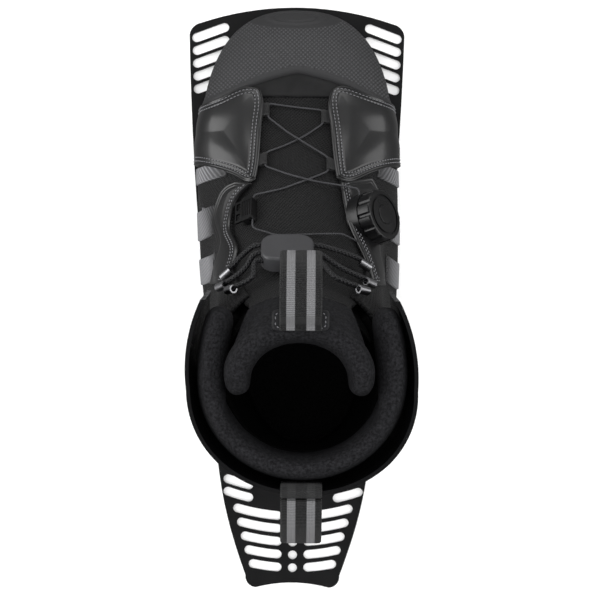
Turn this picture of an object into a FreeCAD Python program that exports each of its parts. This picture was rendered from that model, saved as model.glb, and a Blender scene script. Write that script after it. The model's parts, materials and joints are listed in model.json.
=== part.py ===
import FreeCAD, Part
import math
import os
from FreeCAD import Vector as V

os.makedirs("parts", exist_ok=True)

# Water-ski boot on a slotted mounting plate. All sizes are millimetres.
# Origin: middle of the plate's underside. +Y points to the toe, +X to the dial's side, +Z up.

# Mounting plate
plate_t = 3.2
plate_front = 202.6
plate_rear = -199.0
plate_side = [(183.0, 75.0), (138.0, 73.4), (60.0, 68.5), (-50.0, 58.0), (-120.0, 52.0),
              (-152.0, 46.0), (-182.0, 37.0), (-194.0, 32.7)]
front_corner = (67.2, 191.4)
front_corner_bulge = 1.9
rear_corner = (25.5, -202.4)
rear_corner_bulge = 2.4

# Slots and holes of the plate
hole_r = 3.2
row_pitch = 9.0
first_row = -188.8
row_count = 5
long_slot_inner = 10.8
slot_edge_wall = 4.0
slot_bend_r = 140.0
short_slot_rows = [-134.6, -143.3]
short_slot_inner = 31.0
short_slot_outer = 45.5
front_slot_r = 3.3
front_slot_first = 181.2
front_slot_pitch = 8.95
front_slot_count = 5
front_slot_length = 20.5
front_slot_angle = 20.6
front_slot_wall = 1.7

# Boot form: height, rear, widest line, front, half width, front and rear squareness
form_rows = [
    (5.0, -108.0, 105.0, 193.0, 60.0, 2.5, 3.0),
    (20.0, -112.0, 105.0, 198.0, 64.5, 2.5, 3.0),
    (40.0, -114.0, 90.0, 189.0, 67.0, 2.4, 2.8),
    (60.0, -112.0, 70.0, 165.0, 66.5, 2.3, 2.6),
    (80.0, -107.0, 50.0, 118.0, 59.0, 1.9, 2.5),
    (100.0, -103.0, 25.0, 88.0, 54.0, 1.7, 2.4),
    (125.0, -101.0, 0.0, 54.0, 53.0, 1.7, 2.3),
    (150.0, -101.0, -30.0, 27.0, 54.0, 1.9, 2.2),
    (175.0, -104.0, -45.0, 11.0, 56.0, 2.0, 2.2),
    (210.0, -106.0, -50.0, -2.0, 57.0, 2.2, 2.2),
]
cuff_rows = [
    (100.0, -107.0, -20.0, 75.0, 58.5, 2.3, 2.2),
    (150.0, -111.5, -38.0, 52.0, 62.5, 2.4, 2.2),
    (190.0, -116.0, -50.0, 38.0, 66.5, 2.5, 2.1),
    (232.0, -118.8, -57.0, 30.0, 70.0, 2.5, 2.1),
]
rise = 0.6
toe_centre_x = 0.7
skew = 0.03
skew_start = 100.0

# Thicknesses of the sole and of the upper's layers
layer_gap = 0.2
outsole_t = 6.0
board_t = 2.5
footbed_t = 5.0
wall_t = 2.3
overlay_t = 1.7
band_t = 0.9
liner_t = 6.5
tongue_t = 5.5
tongue_neck = 33.0
cuff_t = 2.5
upper_top = 172.0
tongue_top = 196.0
cuff_rim = 222.0
cuff_foot = 108.0
seam_gap = 0.4

# Cuff rivets
rivet_places = [(-34.0, 124.0), (-60.0, 121.0)]
rivet_r = 4.6
rivet_stem_r = 2.0
rivet_head_t = 1.6
rivet_seat = 1.35
rivet_depth = 4.6

# Boot screws and their tee nuts
screw_places = [(-30.0, 128.0), (30.0, 128.0), (-32.0, 60.0), (34.0, 60.0), (-22.0, -62.0), (30.0, -62.0)]
screw_r = 3.0
screw_head_r = 5.8
tee_barrel_r = 3.9
tee_flange_r = 8.5
tee_flange_t = 1.2
fit_gap = 0.05
clearance = 0.3

# Pads round the leg
leg_x = 5.4
collar_top = 226.0
tongue_pad_top = 241.0

# Closure dial, measured along its own axis from the overlay's surface
dial_place = (48.0, 51.0)
dial_lean = 54.0
dial_heading = 18.0
dial_r = 17.0
dial_base_r = 17.6
dial_base_top = 3.6
dial_floor = -3.0
dial_floor_t = 2.0
spool_r = 12.0
spool_groove_r = 8.0
spool_flange_t = 1.0
spool_hub_r = 5.0
knob_height = 9.4
knob_wall = 2.2
axle_r = 2.0
run_gap = 0.1
dial_port_x = -9.0
dial_port_height = 1.3
grip_count = 12

# Laces
lace_r = 0.6
cord_r = 1.75
sleeve_r = 2.7
sleeve_length = 8.0

# Cord lock
lock_place = (-4.5, 22.0)
lock_width = 33.0
lock_length = 28.0
lock_t = 10.0
button_travel = 3.0
lock_lift = 2.6

# Pull loops
strap_width = 25.0
strap_t = 2.4


def save(shape, node):
    shape.exportStep("parts/" + node + ".step")
    print(node, len(shape.Solids), round(shape.Volume), shape.isValid())


def centre_x(y):
    """The boot's middle line, which turns slightly on the plate."""
    return toe_centre_x + skew * max(0.0, skew_start - y)


def section(row, grow, level):
    """Closed wire of eight arcs round the boot at one height."""
    rear, middle, front, half, n_front, n_rear = row[1:]
    points = []
    for step in range(16):
        turn = step * math.pi / 8
        c, s = math.cos(turn), math.sin(turn)
        power = 2 / (n_front if s >= 0 else n_rear)
        reach = front - middle if s >= 0 else middle - rear
        y = middle + math.copysign(abs(s) ** power, s) * (reach + grow)
        x = math.copysign(abs(c) ** power, c) * (half + grow)
        points.append(V(centre_x(y) + x, y, level))
    points.append(points[0])
    arcs = [Part.Arc(points[i], points[i + 1], points[i + 2]).toShape() for i in range(0, 16, 2)]
    return Part.Wire(arcs)


def body_of(rows, grow):
    """Solid boot form, its surface moved outwards by grow."""
    wires = [section(rows[0], grow, rows[0][0])]
    wires += [section(row, grow, row[0] + rise * grow) for row in rows[1:]]
    return Part.makeLoft(wires, True)


def slab(low, high):
    return Part.makeBox(400, 600, high - low, V(-200, -300, low))


def layer(outside, inside, low, high):
    """Closed wall between two offsets of a form, cut level at its bottom and top."""
    return outside.common(slab(low, high)).cut(inside)


def outline(runs):
    """Closed wire from runs of plan points: two points make a line, more make a smooth curve."""
    edges = []
    for run in runs:
        points = [V(x, y, 0) for x, y in run]
        if len(points) == 2:
            edges.append(Part.LineSegment(*points).toShape())
        else:
            curve = Part.BSplineCurve()
            curve.interpolate(points)
            edges.append(curve.toShape())
    return Part.Wire(edges)


def prism(runs, low=0.0, high=260.0):
    face = Part.Face(outline(runs))
    face.translate(V(0, 0, low))
    return face.extrude(V(0, 0, high - low))


def polygon(points, low=0.0, high=260.0):
    face = Part.Face(Part.makePolygon([V(x, y, low) for x, y in points + points[:1]]))
    return face.extrude(V(0, 0, high - low))


def height_on(shape, x, y):
    """Height of the shape's top above a plan point."""
    line = Part.LineSegment(V(x, y, 0), V(x, y, 300)).toShape()
    return line.common(shape).BoundBox.ZMax


def frame_on(shape, x, y, reach=4.0):
    """Point and outward normal of the shape's top at a plan point."""
    across = height_on(shape, x + reach, y) - height_on(shape, x - reach, y)
    along = height_on(shape, x, y + reach) - height_on(shape, x, y - reach)
    normal = V(-across, -along, 2 * reach)
    return V(x, y, height_on(shape, x, y)), normal.normalize()


def placed(shape, point, normal, forward=V(0, 1, 0)):
    """Moves a shape made at the origin, Z up, so that Z follows the normal and Y the forward way."""
    side = forward.cross(normal).normalize()
    ahead = normal.cross(side)
    turned = FreeCAD.Matrix(side.x, ahead.x, normal.x, point.x, side.y, ahead.y, normal.y, point.y,
                            side.z, ahead.z, normal.z, point.z, 0, 0, 0, 1)
    result = shape.copy()
    result.Placement = FreeCAD.Placement(turned).multiply(result.Placement)
    return result


def disc(radius, low, high):
    return Part.makeCylinder(radius, high - low, V(0, 0, low))


def block(width, length, low, high):
    return Part.makeBox(width, length, high - low, V(-width / 2, -length / 2, low))


def rounded(shape, radius, axis):
    """Rounds a block's edges that run along an axis."""
    edges = [e for e in shape.Edges if abs(e.tangentAt(e.FirstParameter).dot(axis)) > 0.99]
    return shape.makeFillet(radius, edges)


def cord(points, radius, turn_r):
    """Tube along straight runs joined by tangent arcs, none larger than turn_r."""
    points = [V(*p) for p in points]
    edges, radii, last = [], [], points[0]
    for before, corner, after in zip(points, points[1:], points[2:]):
        back, ahead = before - corner, after - corner
        half_turn = (math.pi - back.getAngle(ahead)) / 2
        shorter = min(back.Length, ahead.Length)
        arc_r = min(turn_r, 0.45 * shorter / math.tan(half_turn))
        setback = arc_r * math.tan(half_turn)
        back.normalize()
        ahead.normalize()
        middle = (back + ahead).normalize() * (arc_r / math.cos(half_turn) - arc_r)
        start, end = corner + back * setback, corner + ahead * setback
        edges.append(Part.LineSegment(last, start).toShape())
        edges.append(Part.Arc(start, corner + middle, end).toShape())
        radii.append(round(arc_r, 1))
        last = end
    edges.append(Part.LineSegment(last, points[-1]).toShape())
    path = Part.Wire(edges)
    circle = Part.Circle(points[0], points[1] - points[0], radius)
    tube = path.makePipeShell([Part.Wire(circle.toShape())], True, False)
    share = tube.Volume / (math.pi * radius ** 2 * path.Length)
    print("cord volume over section times length", round(share, 4), "radii", radii)
    return tube


# Mounting plate

def plate_half(y):
    """Half width of the plate at a station along it."""
    for (y0, w0), (y1, w1) in zip(plate_side, plate_side[1:]):
        if y1 <= y <= y0:
            return w0 + (w1 - w0) * (y0 - y) / (y0 - y1)
    return plate_side[0][1] if y > plate_side[0][0] else plate_side[-1][1]


def corner_arc(start, end, bulge):
    """Arc between two plan points that swells outwards by bulge."""
    a, b = V(*start, 0), V(*end, 0)
    out = (b - a).cross(V(0, 0, 1)).normalize()
    if out.dot(a + b) < 0:
        out = -out
    return Part.Arc(a, (a + b) * 0.5 + out * bulge, b).toShape()


def plate_blank():
    side = [(w, y) for y, w in plate_side]
    front = Part.Arc(V(-front_corner[0], front_corner[1], 0), V(0, plate_front, 0), V(*front_corner, 0))
    rear = Part.Arc(V(*rear_corner, 0), V(0, plate_rear, 0), V(-rear_corner[0], rear_corner[1], 0))
    edges = [front.toShape(), rear.toShape()]
    for sign in (1, -1):
        points = [V(sign * x, y, 0) for x, y in side]
        curve = Part.BSplineCurve()
        curve.interpolate(points)
        edges.append(curve.toShape())
        ahead = (sign * front_corner[0], front_corner[1])
        behind = (sign * rear_corner[0], rear_corner[1])
        edges.append(corner_arc(ahead, (sign * side[0][0], side[0][1]), front_corner_bulge))
        edges.append(corner_arc((sign * side[-1][0], side[-1][1]), behind, rear_corner_bulge))
    wire = Part.Wire(Part.__sortEdges__(edges))
    return Part.Face(wire).extrude(V(0, 0, plate_t))


def straight_slot(x0, y0, x1, y1, radius):
    length = math.hypot(x1 - x0, y1 - y0)
    cut = Part.makeBox(length, 2 * radius, plate_t, V(0, -radius, 0))
    cut = cut.fuse(Part.makeCylinder(radius, plate_t)).fuse(Part.makeCylinder(radius, plate_t, V(length, 0, 0)))
    cut = cut.removeSplitter()
    cut.rotate(V(0, 0, 0), V(0, 0, 1), math.degrees(math.atan2(y1 - y0, x1 - x0)))
    cut.translate(V(x0, y0, 0))
    return cut


def curved_slot(row, inner, outer, sign):
    """Slot along an arc that bends forwards away from the middle line."""
    centre_y = row + slot_bend_r
    ends = [math.asin(x / slot_bend_r) for x in (inner, outer)]

    def at(radius, turn):
        return V(sign * radius * math.sin(turn), centre_y - radius * math.cos(turn), 0)

    far, near = slot_bend_r + hole_r, slot_bend_r - hole_r
    middle = sum(ends) / 2
    tip = hole_r / slot_bend_r
    edges = [
        Part.Arc(at(far, ends[0]), at(far, middle), at(far, ends[1])).toShape(),
        Part.Arc(at(far, ends[1]), at(slot_bend_r, ends[1] + tip), at(near, ends[1])).toShape(),
        Part.Arc(at(near, ends[1]), at(near, middle), at(near, ends[0])).toShape(),
        Part.Arc(at(near, ends[0]), at(slot_bend_r, ends[0] - tip), at(far, ends[0])).toShape(),
    ]
    return Part.Face(Part.Wire(edges)).extrude(V(0, 0, plate_t))


def base_plate():
    plate = plate_blank()
    cuts = []
    for k in range(row_count):
        row = first_row + k * row_pitch
        cuts.append(Part.makeCylinder(hole_r, plate_t, V(0, row, 0)))
        outer = plate_half(row) - slot_edge_wall - hole_r
        cuts += [curved_slot(row, long_slot_inner, outer, sign) for sign in (1, -1)]
    for row in short_slot_rows:
        cuts += [curved_slot(row, short_slot_inner, short_slot_outer, sign) for sign in (1, -1)]
    lean = math.radians(front_slot_angle)
    for k in range(front_slot_count):
        y = front_slot_first - k * front_slot_pitch
        x = plate_half(y) - front_slot_wall - front_slot_r
        far_x, far_y = x - front_slot_length * math.cos(lean), y + front_slot_length * math.sin(lean)
        cuts += [straight_slot(sign * x, y, sign * far_x, far_y, front_slot_r) for sign in (1, -1)]
    sink = screw_head_r - screw_r
    for x, y in screw_places:
        cuts.append(Part.makeCylinder(screw_r + fit_gap, plate_t, V(x, y, 0)))
        cuts.append(Part.makeCone(screw_head_r + 2 * fit_gap, screw_r, sink + 2 * fit_gap, V(x, y, 0)))
    return plate.cut(cuts)


# Sole, board and footbed

sole_top = plate_t + outsole_t
board_top = sole_top + board_t
footbed_top = board_top + footbed_t


def sole_slice(grow, low, high):
    face = Part.Face(section(form_rows[0], grow, low))
    return face.extrude(V(0, 0, high - low))


def outsole():
    sole = sole_slice(0.0, plate_t, sole_top)
    cuts = []
    for x, y in screw_places:
        cuts.append(Part.makeCylinder(tee_barrel_r + fit_gap, outsole_t, V(x, y, plate_t)))
        cuts.append(Part.makeCylinder(tee_flange_r + fit_gap, tee_flange_t, V(x, y, sole_top - tee_flange_t)))
    return sole.cut(cuts)


def sole_screws():
    """Countersunk screws up through the plate."""
    screws = []
    sink = screw_head_r - screw_r
    drive = 2.0
    for x, y in screw_places:
        head = Part.makeCone(screw_head_r, screw_r, sink, V(x, y, fit_gap))
        shank = Part.makeCylinder(screw_r, sole_top - clearance - fit_gap, V(x, y, fit_gap))
        key = Part.makeCylinder(drive, drive, V(x, y, fit_gap))
        screws.append(head.fuse(shank).removeSplitter().cut(key))
    return Part.makeCompound(screws)


def sole_tee_nuts():
    nuts = []
    for x, y in screw_places:
        barrel = Part.makeCylinder(tee_barrel_r, outsole_t - clearance, V(x, y, plate_t + clearance))
        flange = Part.makeCylinder(tee_flange_r, tee_flange_t, V(x, y, sole_top - tee_flange_t))
        bore = Part.makeCylinder(screw_r + fit_gap, outsole_t, V(x, y, plate_t))
        nuts.append(barrel.fuse(flange).removeSplitter().cut(bore))
    return Part.makeCompound(nuts)


# Outlines seen from above

overlay_left = [
    [(-90.0, 129.0), (-66.0, 129.5)],
    [(-66.0, 129.5), (-50.0, 133.5), (-31.0, 140.7)],
    [(-31.0, 140.7), (-24.2, 138.8), (-22.0, 131.5)],
    [(-22.0, 131.5), (-22.6, 117.0), (-24.9, 82.8), (-26.0, 76.5)],
    [(-26.0, 76.5), (-30.0, 75.0), (-36.0, 78.0), (-44.0, 82.0), (-64.0, 88.0)],
    [(-64.0, 88.0), (-90.0, 88.0)],
    [(-90.0, 88.0), (-90.0, 129.0)],
]
overlay_right = [
    [(90.0, 131.5), (66.0, 131.5)],
    [(66.0, 131.5), (52.0, 135.0), (36.2, 140.5), (28.1, 141.6)],
    [(28.1, 141.6), (23.0, 138.0), (21.3, 129.0)],
    [(21.3, 129.0), (22.4, 117.7), (25.2, 90.0), (27.0, 77.5)],
    [(27.0, 77.5), (33.0, 76.0), (42.0, 79.0), (52.0, 84.0), (66.0, 88.0)],
    [(66.0, 88.0), (90.0, 88.0)],
    [(90.0, 88.0), (90.0, 131.5)],
]
eyestay_left = [
    [(-28.0, 74.0), (-36.5, 65.6), (-41.0, 52.5), (-41.2, 43.2), (-36.8, 34.0), (-38.0, 22.0), (-44.0, 8.0)],
    [(-44.0, 8.0), (-58.0, 8.0)],
    [(-58.0, 8.0), (-51.0, 22.0), (-49.5, 34.0), (-53.0, 45.0), (-52.0, 60.0), (-45.0, 73.0), (-38.0, 76.0)],
    [(-38.0, 76.0), (-28.0, 74.0)],
]
eyestay_right = [
    [(29.0, 75.0), (30.5, 66.0), (32.5, 55.0), (36.0, 44.0), (44.4, 26.0), (52.0, 8.0)],
    [(52.0, 8.0), (66.0, 8.0)],
    [(66.0, 8.0), (57.0, 28.0), (60.0, 45.0), (62.0, 60.0), (54.0, 80.0)],
    [(54.0, 80.0), (42.0, 77.0), (34.0, 74.5), (29.0, 75.0)],
]
toe_line = [[(-90.0, 120.0), (-52.0, 132.0)], [(-52.0, 132.0), (-28.6, 142.0), (1.2, 151.0), (30.8, 142.5),
            (52.0, 133.0)], [(52.0, 133.0), (90.0, 120.0)], [(90.0, 120.0), (90.0, 230.0)],
            [(90.0, 230.0), (-90.0, 230.0)], [(-90.0, 230.0), (-90.0, 120.0)]]
vamp_rear = 134.4
instep_left = [(-24.6, 131.0), (-26.0, 100.0), (-28.0, 80.0), (-40.0, 64.0), (-43.5, 48.0), (-40.0, 30.0),
               (-46.0, 6.0), (-54.0, -12.0)]
instep_right = [(24.0, 131.0), (27.0, 100.0), (29.5, 80.0), (34.0, 60.0), (38.5, 44.0), (47.0, 26.0),
                (56.0, 6.0), (62.0, -12.0)]
tongue_left = [(-33.0, 146.0), (-33.0, 100.0), (-38.0, 78.0), (-47.0, 60.0), (-49.0, 44.0), (-47.0, 28.0),
               (-47.0, 4.0), (-42.0, -24.0)]
tongue_right = [(33.0, 146.0), (34.0, 100.0), (38.0, 78.0), (44.0, 58.0), (48.0, 42.0), (52.0, 26.0),
                (54.0, 4.0), (51.0, -24.0)]
tongue_line = [(160.0, 40.0), (60.0, 72.0), (-40.0, 128.0)]


def moved(points, dx):
    return [(x + dx, y) for x, y in points]


def tongue_zone(gap):
    """Space of the tongue: between two plan lines and above a side line, grown by a gap."""
    plan = polygon(moved(tongue_left, -gap) + moved(tongue_right, gap)[::-1])
    side = [(y, z - gap) for y, z in tongue_line] + [(-40.0, 260.0), (160.0, 260.0)]
    above = Part.Face(Part.makePolygon([V(-120, y, z) for y, z in side + side[:1]])).extrude(V(240, 0, 0))
    return plan.common(above)


band_stations = [(86.0, 75.0), (56.0, 36.0), (24.0, 6.0)]
band_inner = {1: (56.0, 61.0, 62.0), -1: (45.0, 54.5, 54.0)}
over_outlines = [overlay_left, overlay_right, eyestay_left, eyestay_right]

# Layers of the upper

form_skin = body_of(form_rows, 0.0)
form_wall_in = body_of(form_rows, -wall_t)
form_liner_out = body_of(form_rows, -wall_t - layer_gap)
form_liner_in = body_of(form_rows, -wall_t - layer_gap - liner_t)
form_tongue_in = body_of(form_rows, -wall_t - layer_gap - tongue_t)
form_over_in = body_of(form_rows, layer_gap)
form_over_out = body_of(form_rows, layer_gap + overlay_t)
form_band_out = body_of(form_rows, layer_gap + band_t)
cuff_out = body_of(cuff_rows, 0.0)
cuff_in = body_of(cuff_rows, -cuff_t)

wall = layer(form_skin, form_wall_in, sole_top, upper_top)
inner = layer(form_liner_out, form_liner_in, board_top, upper_top)
over = layer(form_over_out, form_over_in, sole_top, upper_top)
band = layer(form_band_out, form_over_in, sole_top, upper_top)


def largest(shape):
    """The largest solid of a cut, without stray slivers."""
    return max(shape.Solids, key=lambda s: s.Volume)


dial_point = V(*dial_place, height_on(form_over_out, *dial_place))
lean, heading = math.radians(dial_lean), math.radians(dial_heading)
dial_normal = V(math.sin(lean) * math.cos(heading), math.sin(lean) * math.sin(heading), math.cos(lean))


def at_dial(shape):
    return placed(shape, dial_point, dial_normal)


dial_well = at_dial(disc(dial_base_r + clearance, -20.0, 20.0))
dial_seat = at_dial(disc(dial_base_r + clearance, dial_floor - clearance, 20.0))


def toe_cap():
    """Moulded rubber cap with a raised bumper and a thick rear lip."""
    cap = largest(wall.common(prism(toe_line)))
    bumper_place = (-0.9, 191.0)
    point, normal = frame_on(form_skin, *bumper_place, 1.5)
    bumper = Part.makeCylinder(1.0, 2.4)
    stretch = FreeCAD.Matrix(19.0, 0, 0, 0, 0, 5.2, 0, 0, 0, 0, 1.0, 0, 0, 0, 0, 1)
    bumper = placed(bumper.transformGeometry(stretch), point - normal * 0.6, normal)
    return cap, bumper.cut(form_skin)


def toe_zone(gap):
    """Space ahead of the toe cap's rear edge, moved back by a gap."""
    return prism([[(x, y - gap) for x, y in run] for run in toe_line])


def vamp():
    reach = polygon([(-90.0, vamp_rear), (90.0, vamp_rear), (90.0, 230.0), (-90.0, 230.0)])
    return largest(wall.common(reach).cut(toe_zone(seam_gap)))


def quarter(sign, edge):
    """Mesh side panel from the vamp to the heel seam."""
    rear_x = centre_x(-100.0)
    far = 100.0 * sign
    front = vamp_rear - seam_gap
    line = [(edge[0][0], front)] + edge[1:]
    points = [(far, front)] + line + [(rear_x + seam_gap / 2 * sign, -12.0), (rear_x + seam_gap / 2 * sign, -140.0),
                                      (far, -140.0)]
    return largest(wall.common(polygon(points)).cut([dial_well, toe_zone(seam_gap)] + rivet_holes() + lace_ways()))


def liner():
    return largest(inner.cut(tongue_zone(seam_gap)))


def tongue():
    """Padded tongue, narrower where it rises inside the collar."""
    shell = form_liner_out.common(slab(sole_top, tongue_top)).cut(form_tongue_in)
    collar_sides = [Part.makeBox(80, 200, 60, V(x, -150, upper_top - seam_gap))
                    for x in (leg_x - tongue_neck - 80, leg_x + tongue_neck)]
    return largest(shell.common(tongue_zone(0.0)).cut(collar_sides + [dial_seat]))


def heel_counter():
    back = polygon([(-90.0, -62.0), (90.0, -62.0), (90.0, -140.0), (-90.0, -140.0)], sole_top, cuff_foot - 6.0)
    return largest(over.common(back))


def bands(sign):
    """Three smooth strips over the mesh side."""
    strips = []
    for (front, rear), inner_x in zip(band_stations, band_inner[sign]):
        points = [(sign * inner_x, front), (sign * 90.0, front), (sign * 90.0, rear), (sign * inner_x, rear)]
        strip = band.common(polygon(points)).cut([dial_well] + [prism(o) for o in over_outlines])
        strips.append(largest(strip))
    return Part.makeCompound(strips)


def cuff_shell():
    """Stiff outer cuff, open at the front, flared to its rim."""
    shell = layer(cuff_out, cuff_in, cuff_foot, cuff_rim)
    side = [(-150.0, cuff_foot), (-30.0, cuff_foot), (-8.0, 132.0), (4.0, 160.0), (-2.0, cuff_rim), (-150.0, cuff_rim)]
    face = Part.Face(Part.makePolygon([V(-100, y, z) for y, z in side + side[:1]]))
    shell = shell.common(face.extrude(V(200, 0, 0)))
    inside = 43.0
    gap = Part.makeBox(2 * inside, 120, 200, V(leg_x - inside, -30, 80))
    return largest(shell.cut([gap] + rivet_holes()))


# Pads

def pad_section(x, y, along, width, low, top):
    """Upright section of a pad: flat foot, drawn-in sides and a round crown."""
    across = V(-along.y, along.x, 0).normalize()
    foot, full, shoulder = 0.42 * width, 0.5 * width, 0.47 * width
    bend = top - 0.45 * width
    middle = (low + bend) / 2

    def at(side, z):
        return V(x, y, z) + across * side

    edges = [
        Part.LineSegment(at(-foot, low), at(foot, low)).toShape(),
        Part.Arc(at(foot, low), at(full, middle), at(shoulder, bend)).toShape(),
        Part.Arc(at(shoulder, bend), at(0.34 * width, top - 0.14 * width), at(0, top)).toShape(),
        Part.Arc(at(0, top), at(-0.34 * width, top - 0.14 * width), at(-shoulder, bend)).toShape(),
        Part.Arc(at(-shoulder, bend), at(-full, middle), at(-foot, low)).toShape(),
    ]
    return Part.Wire(edges)


def pad_round(stations, low, top):
    """Pad lofted through upright sections along a bent line."""
    wires = []
    for i, (x, y, width, drop) in enumerate(stations):
        before = stations[max(i - 1, 0)]
        after = stations[min(i + 1, len(stations) - 1)]
        along = V(after[0] - before[0], after[1] - before[1], 0)
        wires.append(pad_section(x, y, along, width, low, top - drop))
    return Part.makeLoft(wires, True)


collar_half = 55.3
collar_rear = -103.2
collar_middle = -50.0
collar_width = 14.0
collar_arm = [(-1.4, 17.0, 15.0), (-4.8, 32.0, 16.5), (-9.2, 45.0, 17.0)]
tongue_half = 37.4
tongue_front = -18.7
tongue_middle = -48.0
tongue_pad_width = 18.0
tongue_pad_low = tongue_top + layer_gap


def collar_pad():
    """Horseshoe collar: half an ellipse at the heel and two arms that close in towards the front."""
    arm = [(collar_half + dx, collar_middle + ahead, width) for dx, ahead, width in collar_arm]
    stations = [(leg_x - x, y, width, 0.0) for x, y, width in arm[::-1]]
    for step in range(9):
        turn = math.pi * step / 8
        x = leg_x - collar_half * math.cos(turn)
        y = collar_middle - math.sin(turn) * (collar_middle - collar_rear)
        stations.append((x, y, collar_width, 0.0))
    stations += [(leg_x + x, y, width, 0.0) for x, y, width in arm]
    return pad_round(stations, upper_top + layer_gap, collar_top)


def tongue_pad():
    stations = []
    for turn in (-22, 8, 38, 65, 90, 115, 142, 172, 202):
        a = math.radians(turn)
        x = leg_x - 1.7 + tongue_half * math.cos(a) * (1.0 if math.sin(a) > 0 else 0.98)
        y = tongue_middle + math.sin(a) * (tongue_front - tongue_middle)
        ends = max(0.0, -math.sin(a)) + max(0.0, 0.25 - math.sin(a)) * 0.6
        stations.append((x, y, tongue_pad_width - 5.0 * ends, 14.0 * ends))
    return pad_round(stations, tongue_pad_low, tongue_pad_top)


# Closure dial

spool_low = dial_floor + run_gap
spool_top = dial_base_top - 0.6
knob_low = dial_base_top + clearance
knob_top = knob_low + knob_height
knob_floor = knob_top - 2.6
pawl_low = knob_low + 1.2
hub_top = knob_floor - 1.0


def dial_housing():
    cup = disc(dial_base_r, dial_floor - dial_floor_t, dial_base_top).cut(disc(spool_r + run_gap + 0.1, dial_floor, 20.0))
    for sign in (1, -1):
        port = Part.makeCylinder(lace_r + clearance, dial_base_r, V(dial_port_x, 0, dial_port_height), V(0, sign, 0))
        cup = cup.cut(port)
    return at_dial(cup)


def dial_spool():
    groove_low, groove_top = spool_low + spool_flange_t, spool_top - spool_flange_t
    drum = disc(spool_r, spool_low, spool_top)
    groove = disc(spool_r + 1.0, groove_low, groove_top).cut(disc(spool_groove_r, groove_low, groove_top))
    hub = disc(spool_hub_r, spool_top, hub_top)
    teeth = [block(1.2, 1.2, spool_top, hub_top) for _ in range(8)]
    spool = drum.cut(groove).fuse(hub)
    for k, tooth in enumerate(teeth):
        tooth.translate(V(spool_hub_r, 0, 0))
        tooth.rotate(V(0, 0, 0), V(0, 0, 1), 360.0 / len(teeth) * k)
        spool = spool.fuse(tooth)
    spool = spool.removeSplitter().cut(disc(axle_r + run_gap, spool_low - 1, hub_top + 1))
    return at_dial(spool)


def dial_axle():
    pin = disc(axle_r, dial_floor, hub_top + 0.2)
    head = disc(3.4, hub_top + 0.2, hub_top + 0.8)
    return at_dial(pin.fuse(head).removeSplitter())


def dial_knob():
    knob = disc(dial_r, knob_low, knob_top)
    knob = knob.makeFillet(1.6, [e for e in knob.Edges if e.BoundBox.ZMin > knob_top - 0.1])
    knob = knob.cut(disc(dial_r - knob_wall, knob_low - 1.0, knob_floor))
    grip_r = 2.2
    for k in range(grip_count):
        a = 2 * math.pi * k / grip_count
        reach = dial_r + grip_r * 0.62
        knob = knob.cut(Part.makeCylinder(grip_r, 20.0, V(reach * math.cos(a), reach * math.sin(a), 0)))
    ring = disc(dial_r - 3.4, knob_top - 0.9, knob_top + 1.0).cut(disc(dial_r - 5.0, knob_top - 0.9, knob_top + 1.0))
    seat = disc(6.6, knob_top - 1.2, knob_top + 1.0)
    return at_dial(knob.cut(ring).cut(seat))


def dial_pawl_disc():
    """Ring with bent pawls that grips the hub's teeth inside the knob."""
    low, top = pawl_low, knob_floor - 0.05
    outer = dial_r - knob_wall - 0.15
    ring = disc(outer, low, top).cut(disc(outer - 2.2, low - 1, top + 1))
    plate = disc(outer - 1.0, top - 1.0, top).cut(disc(spool_hub_r + 1.6, low - 1, top + 1))
    cuts = []
    for k in range(3):
        slot = Part.makeCylinder(outer - 3.2, 4.0, V(0, 0, top - 2), V(0, 0, 1), 70)
        slot = slot.cut(disc(outer - 4.4, top - 3, top + 3))
        slot.rotate(V(0, 0, 0), V(0, 0, 1), 120 * k)
        cuts.append(slot)
    return at_dial(ring.fuse(plate).removeSplitter().cut(cuts))


def dial_cap():
    cap = disc(6.4, knob_top - 1.15, knob_top + 0.5)
    cap = cap.makeFillet(0.4, [e for e in cap.Edges if e.BoundBox.ZMin > knob_top + 0.4])
    return at_dial(cap)


# Lower lace, its loops and its guide

guide_place = (-31.5, 55.5)
loop_half = 4.5
loop_hole_r = lace_r + clearance
loop_wall = 0.8
loop_places = {"left_top": (-19.4, 125.0, 1), "left_mid": (-20.6, 91.0, 1),
               "right_top": (18.6, 120.5, -1), "right_mid": (22.2, 88.0, -1)}


def lifted(shape, x, y, lift):
    """Point at a distance from the shape's top, along its normal above a plan point."""
    point, normal = frame_on(shape, x, y, 2.0)
    point = point + normal * lift
    return (point.x, point.y, point.z)


def over_tongue(x, y, lift):
    return lifted(form_liner_out, x, y, lift)


def over_upper(x, y, lift):
    return lifted(form_over_out, x, y, lift)


def loop_axis(place):
    """End points of the lace's way through one textile loop."""
    x, y, sign = loop_places[place]
    lift = loop_hole_r + loop_wall + clearance
    return [over_tongue(x, y - loop_half, lift), over_tongue(x, y + loop_half, lift)]


def beyond(a, b, reach):
    """Point past b on the line from a."""
    a, b = V(*a), V(*b)
    p = b + (b - a).normalize() * reach
    return (p.x, p.y, p.z)


def dial_port(sign, out):
    """Point on the line of a lace port of the dial, at a distance from the dial's middle."""
    point = at_dial(Part.Vertex(dial_port_x, sign * out, dial_port_height)).Point
    return (point.x, point.y, point.z)


lace_ends = {1: [dial_port(1, 15.2), dial_port(1, 20.0), over_upper(28.5, 71.5, 1.3)],
             -1: [dial_port(-1, 15.2), dial_port(-1, 20.0), over_upper(29.0, 39.0, 1.4)]}


def lace_ways():
    """Space that the lace needs beside the dial."""
    ways = []
    radius = lace_r + clearance
    for run in lace_ends.values():
        points = [V(*p) for p in run]
        for a, b in zip(points, points[1:]):
            ways += [Part.makeCylinder(radius, (b - a).Length, a, b - a), Part.makeSphere(radius, b)]
    return ways


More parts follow.
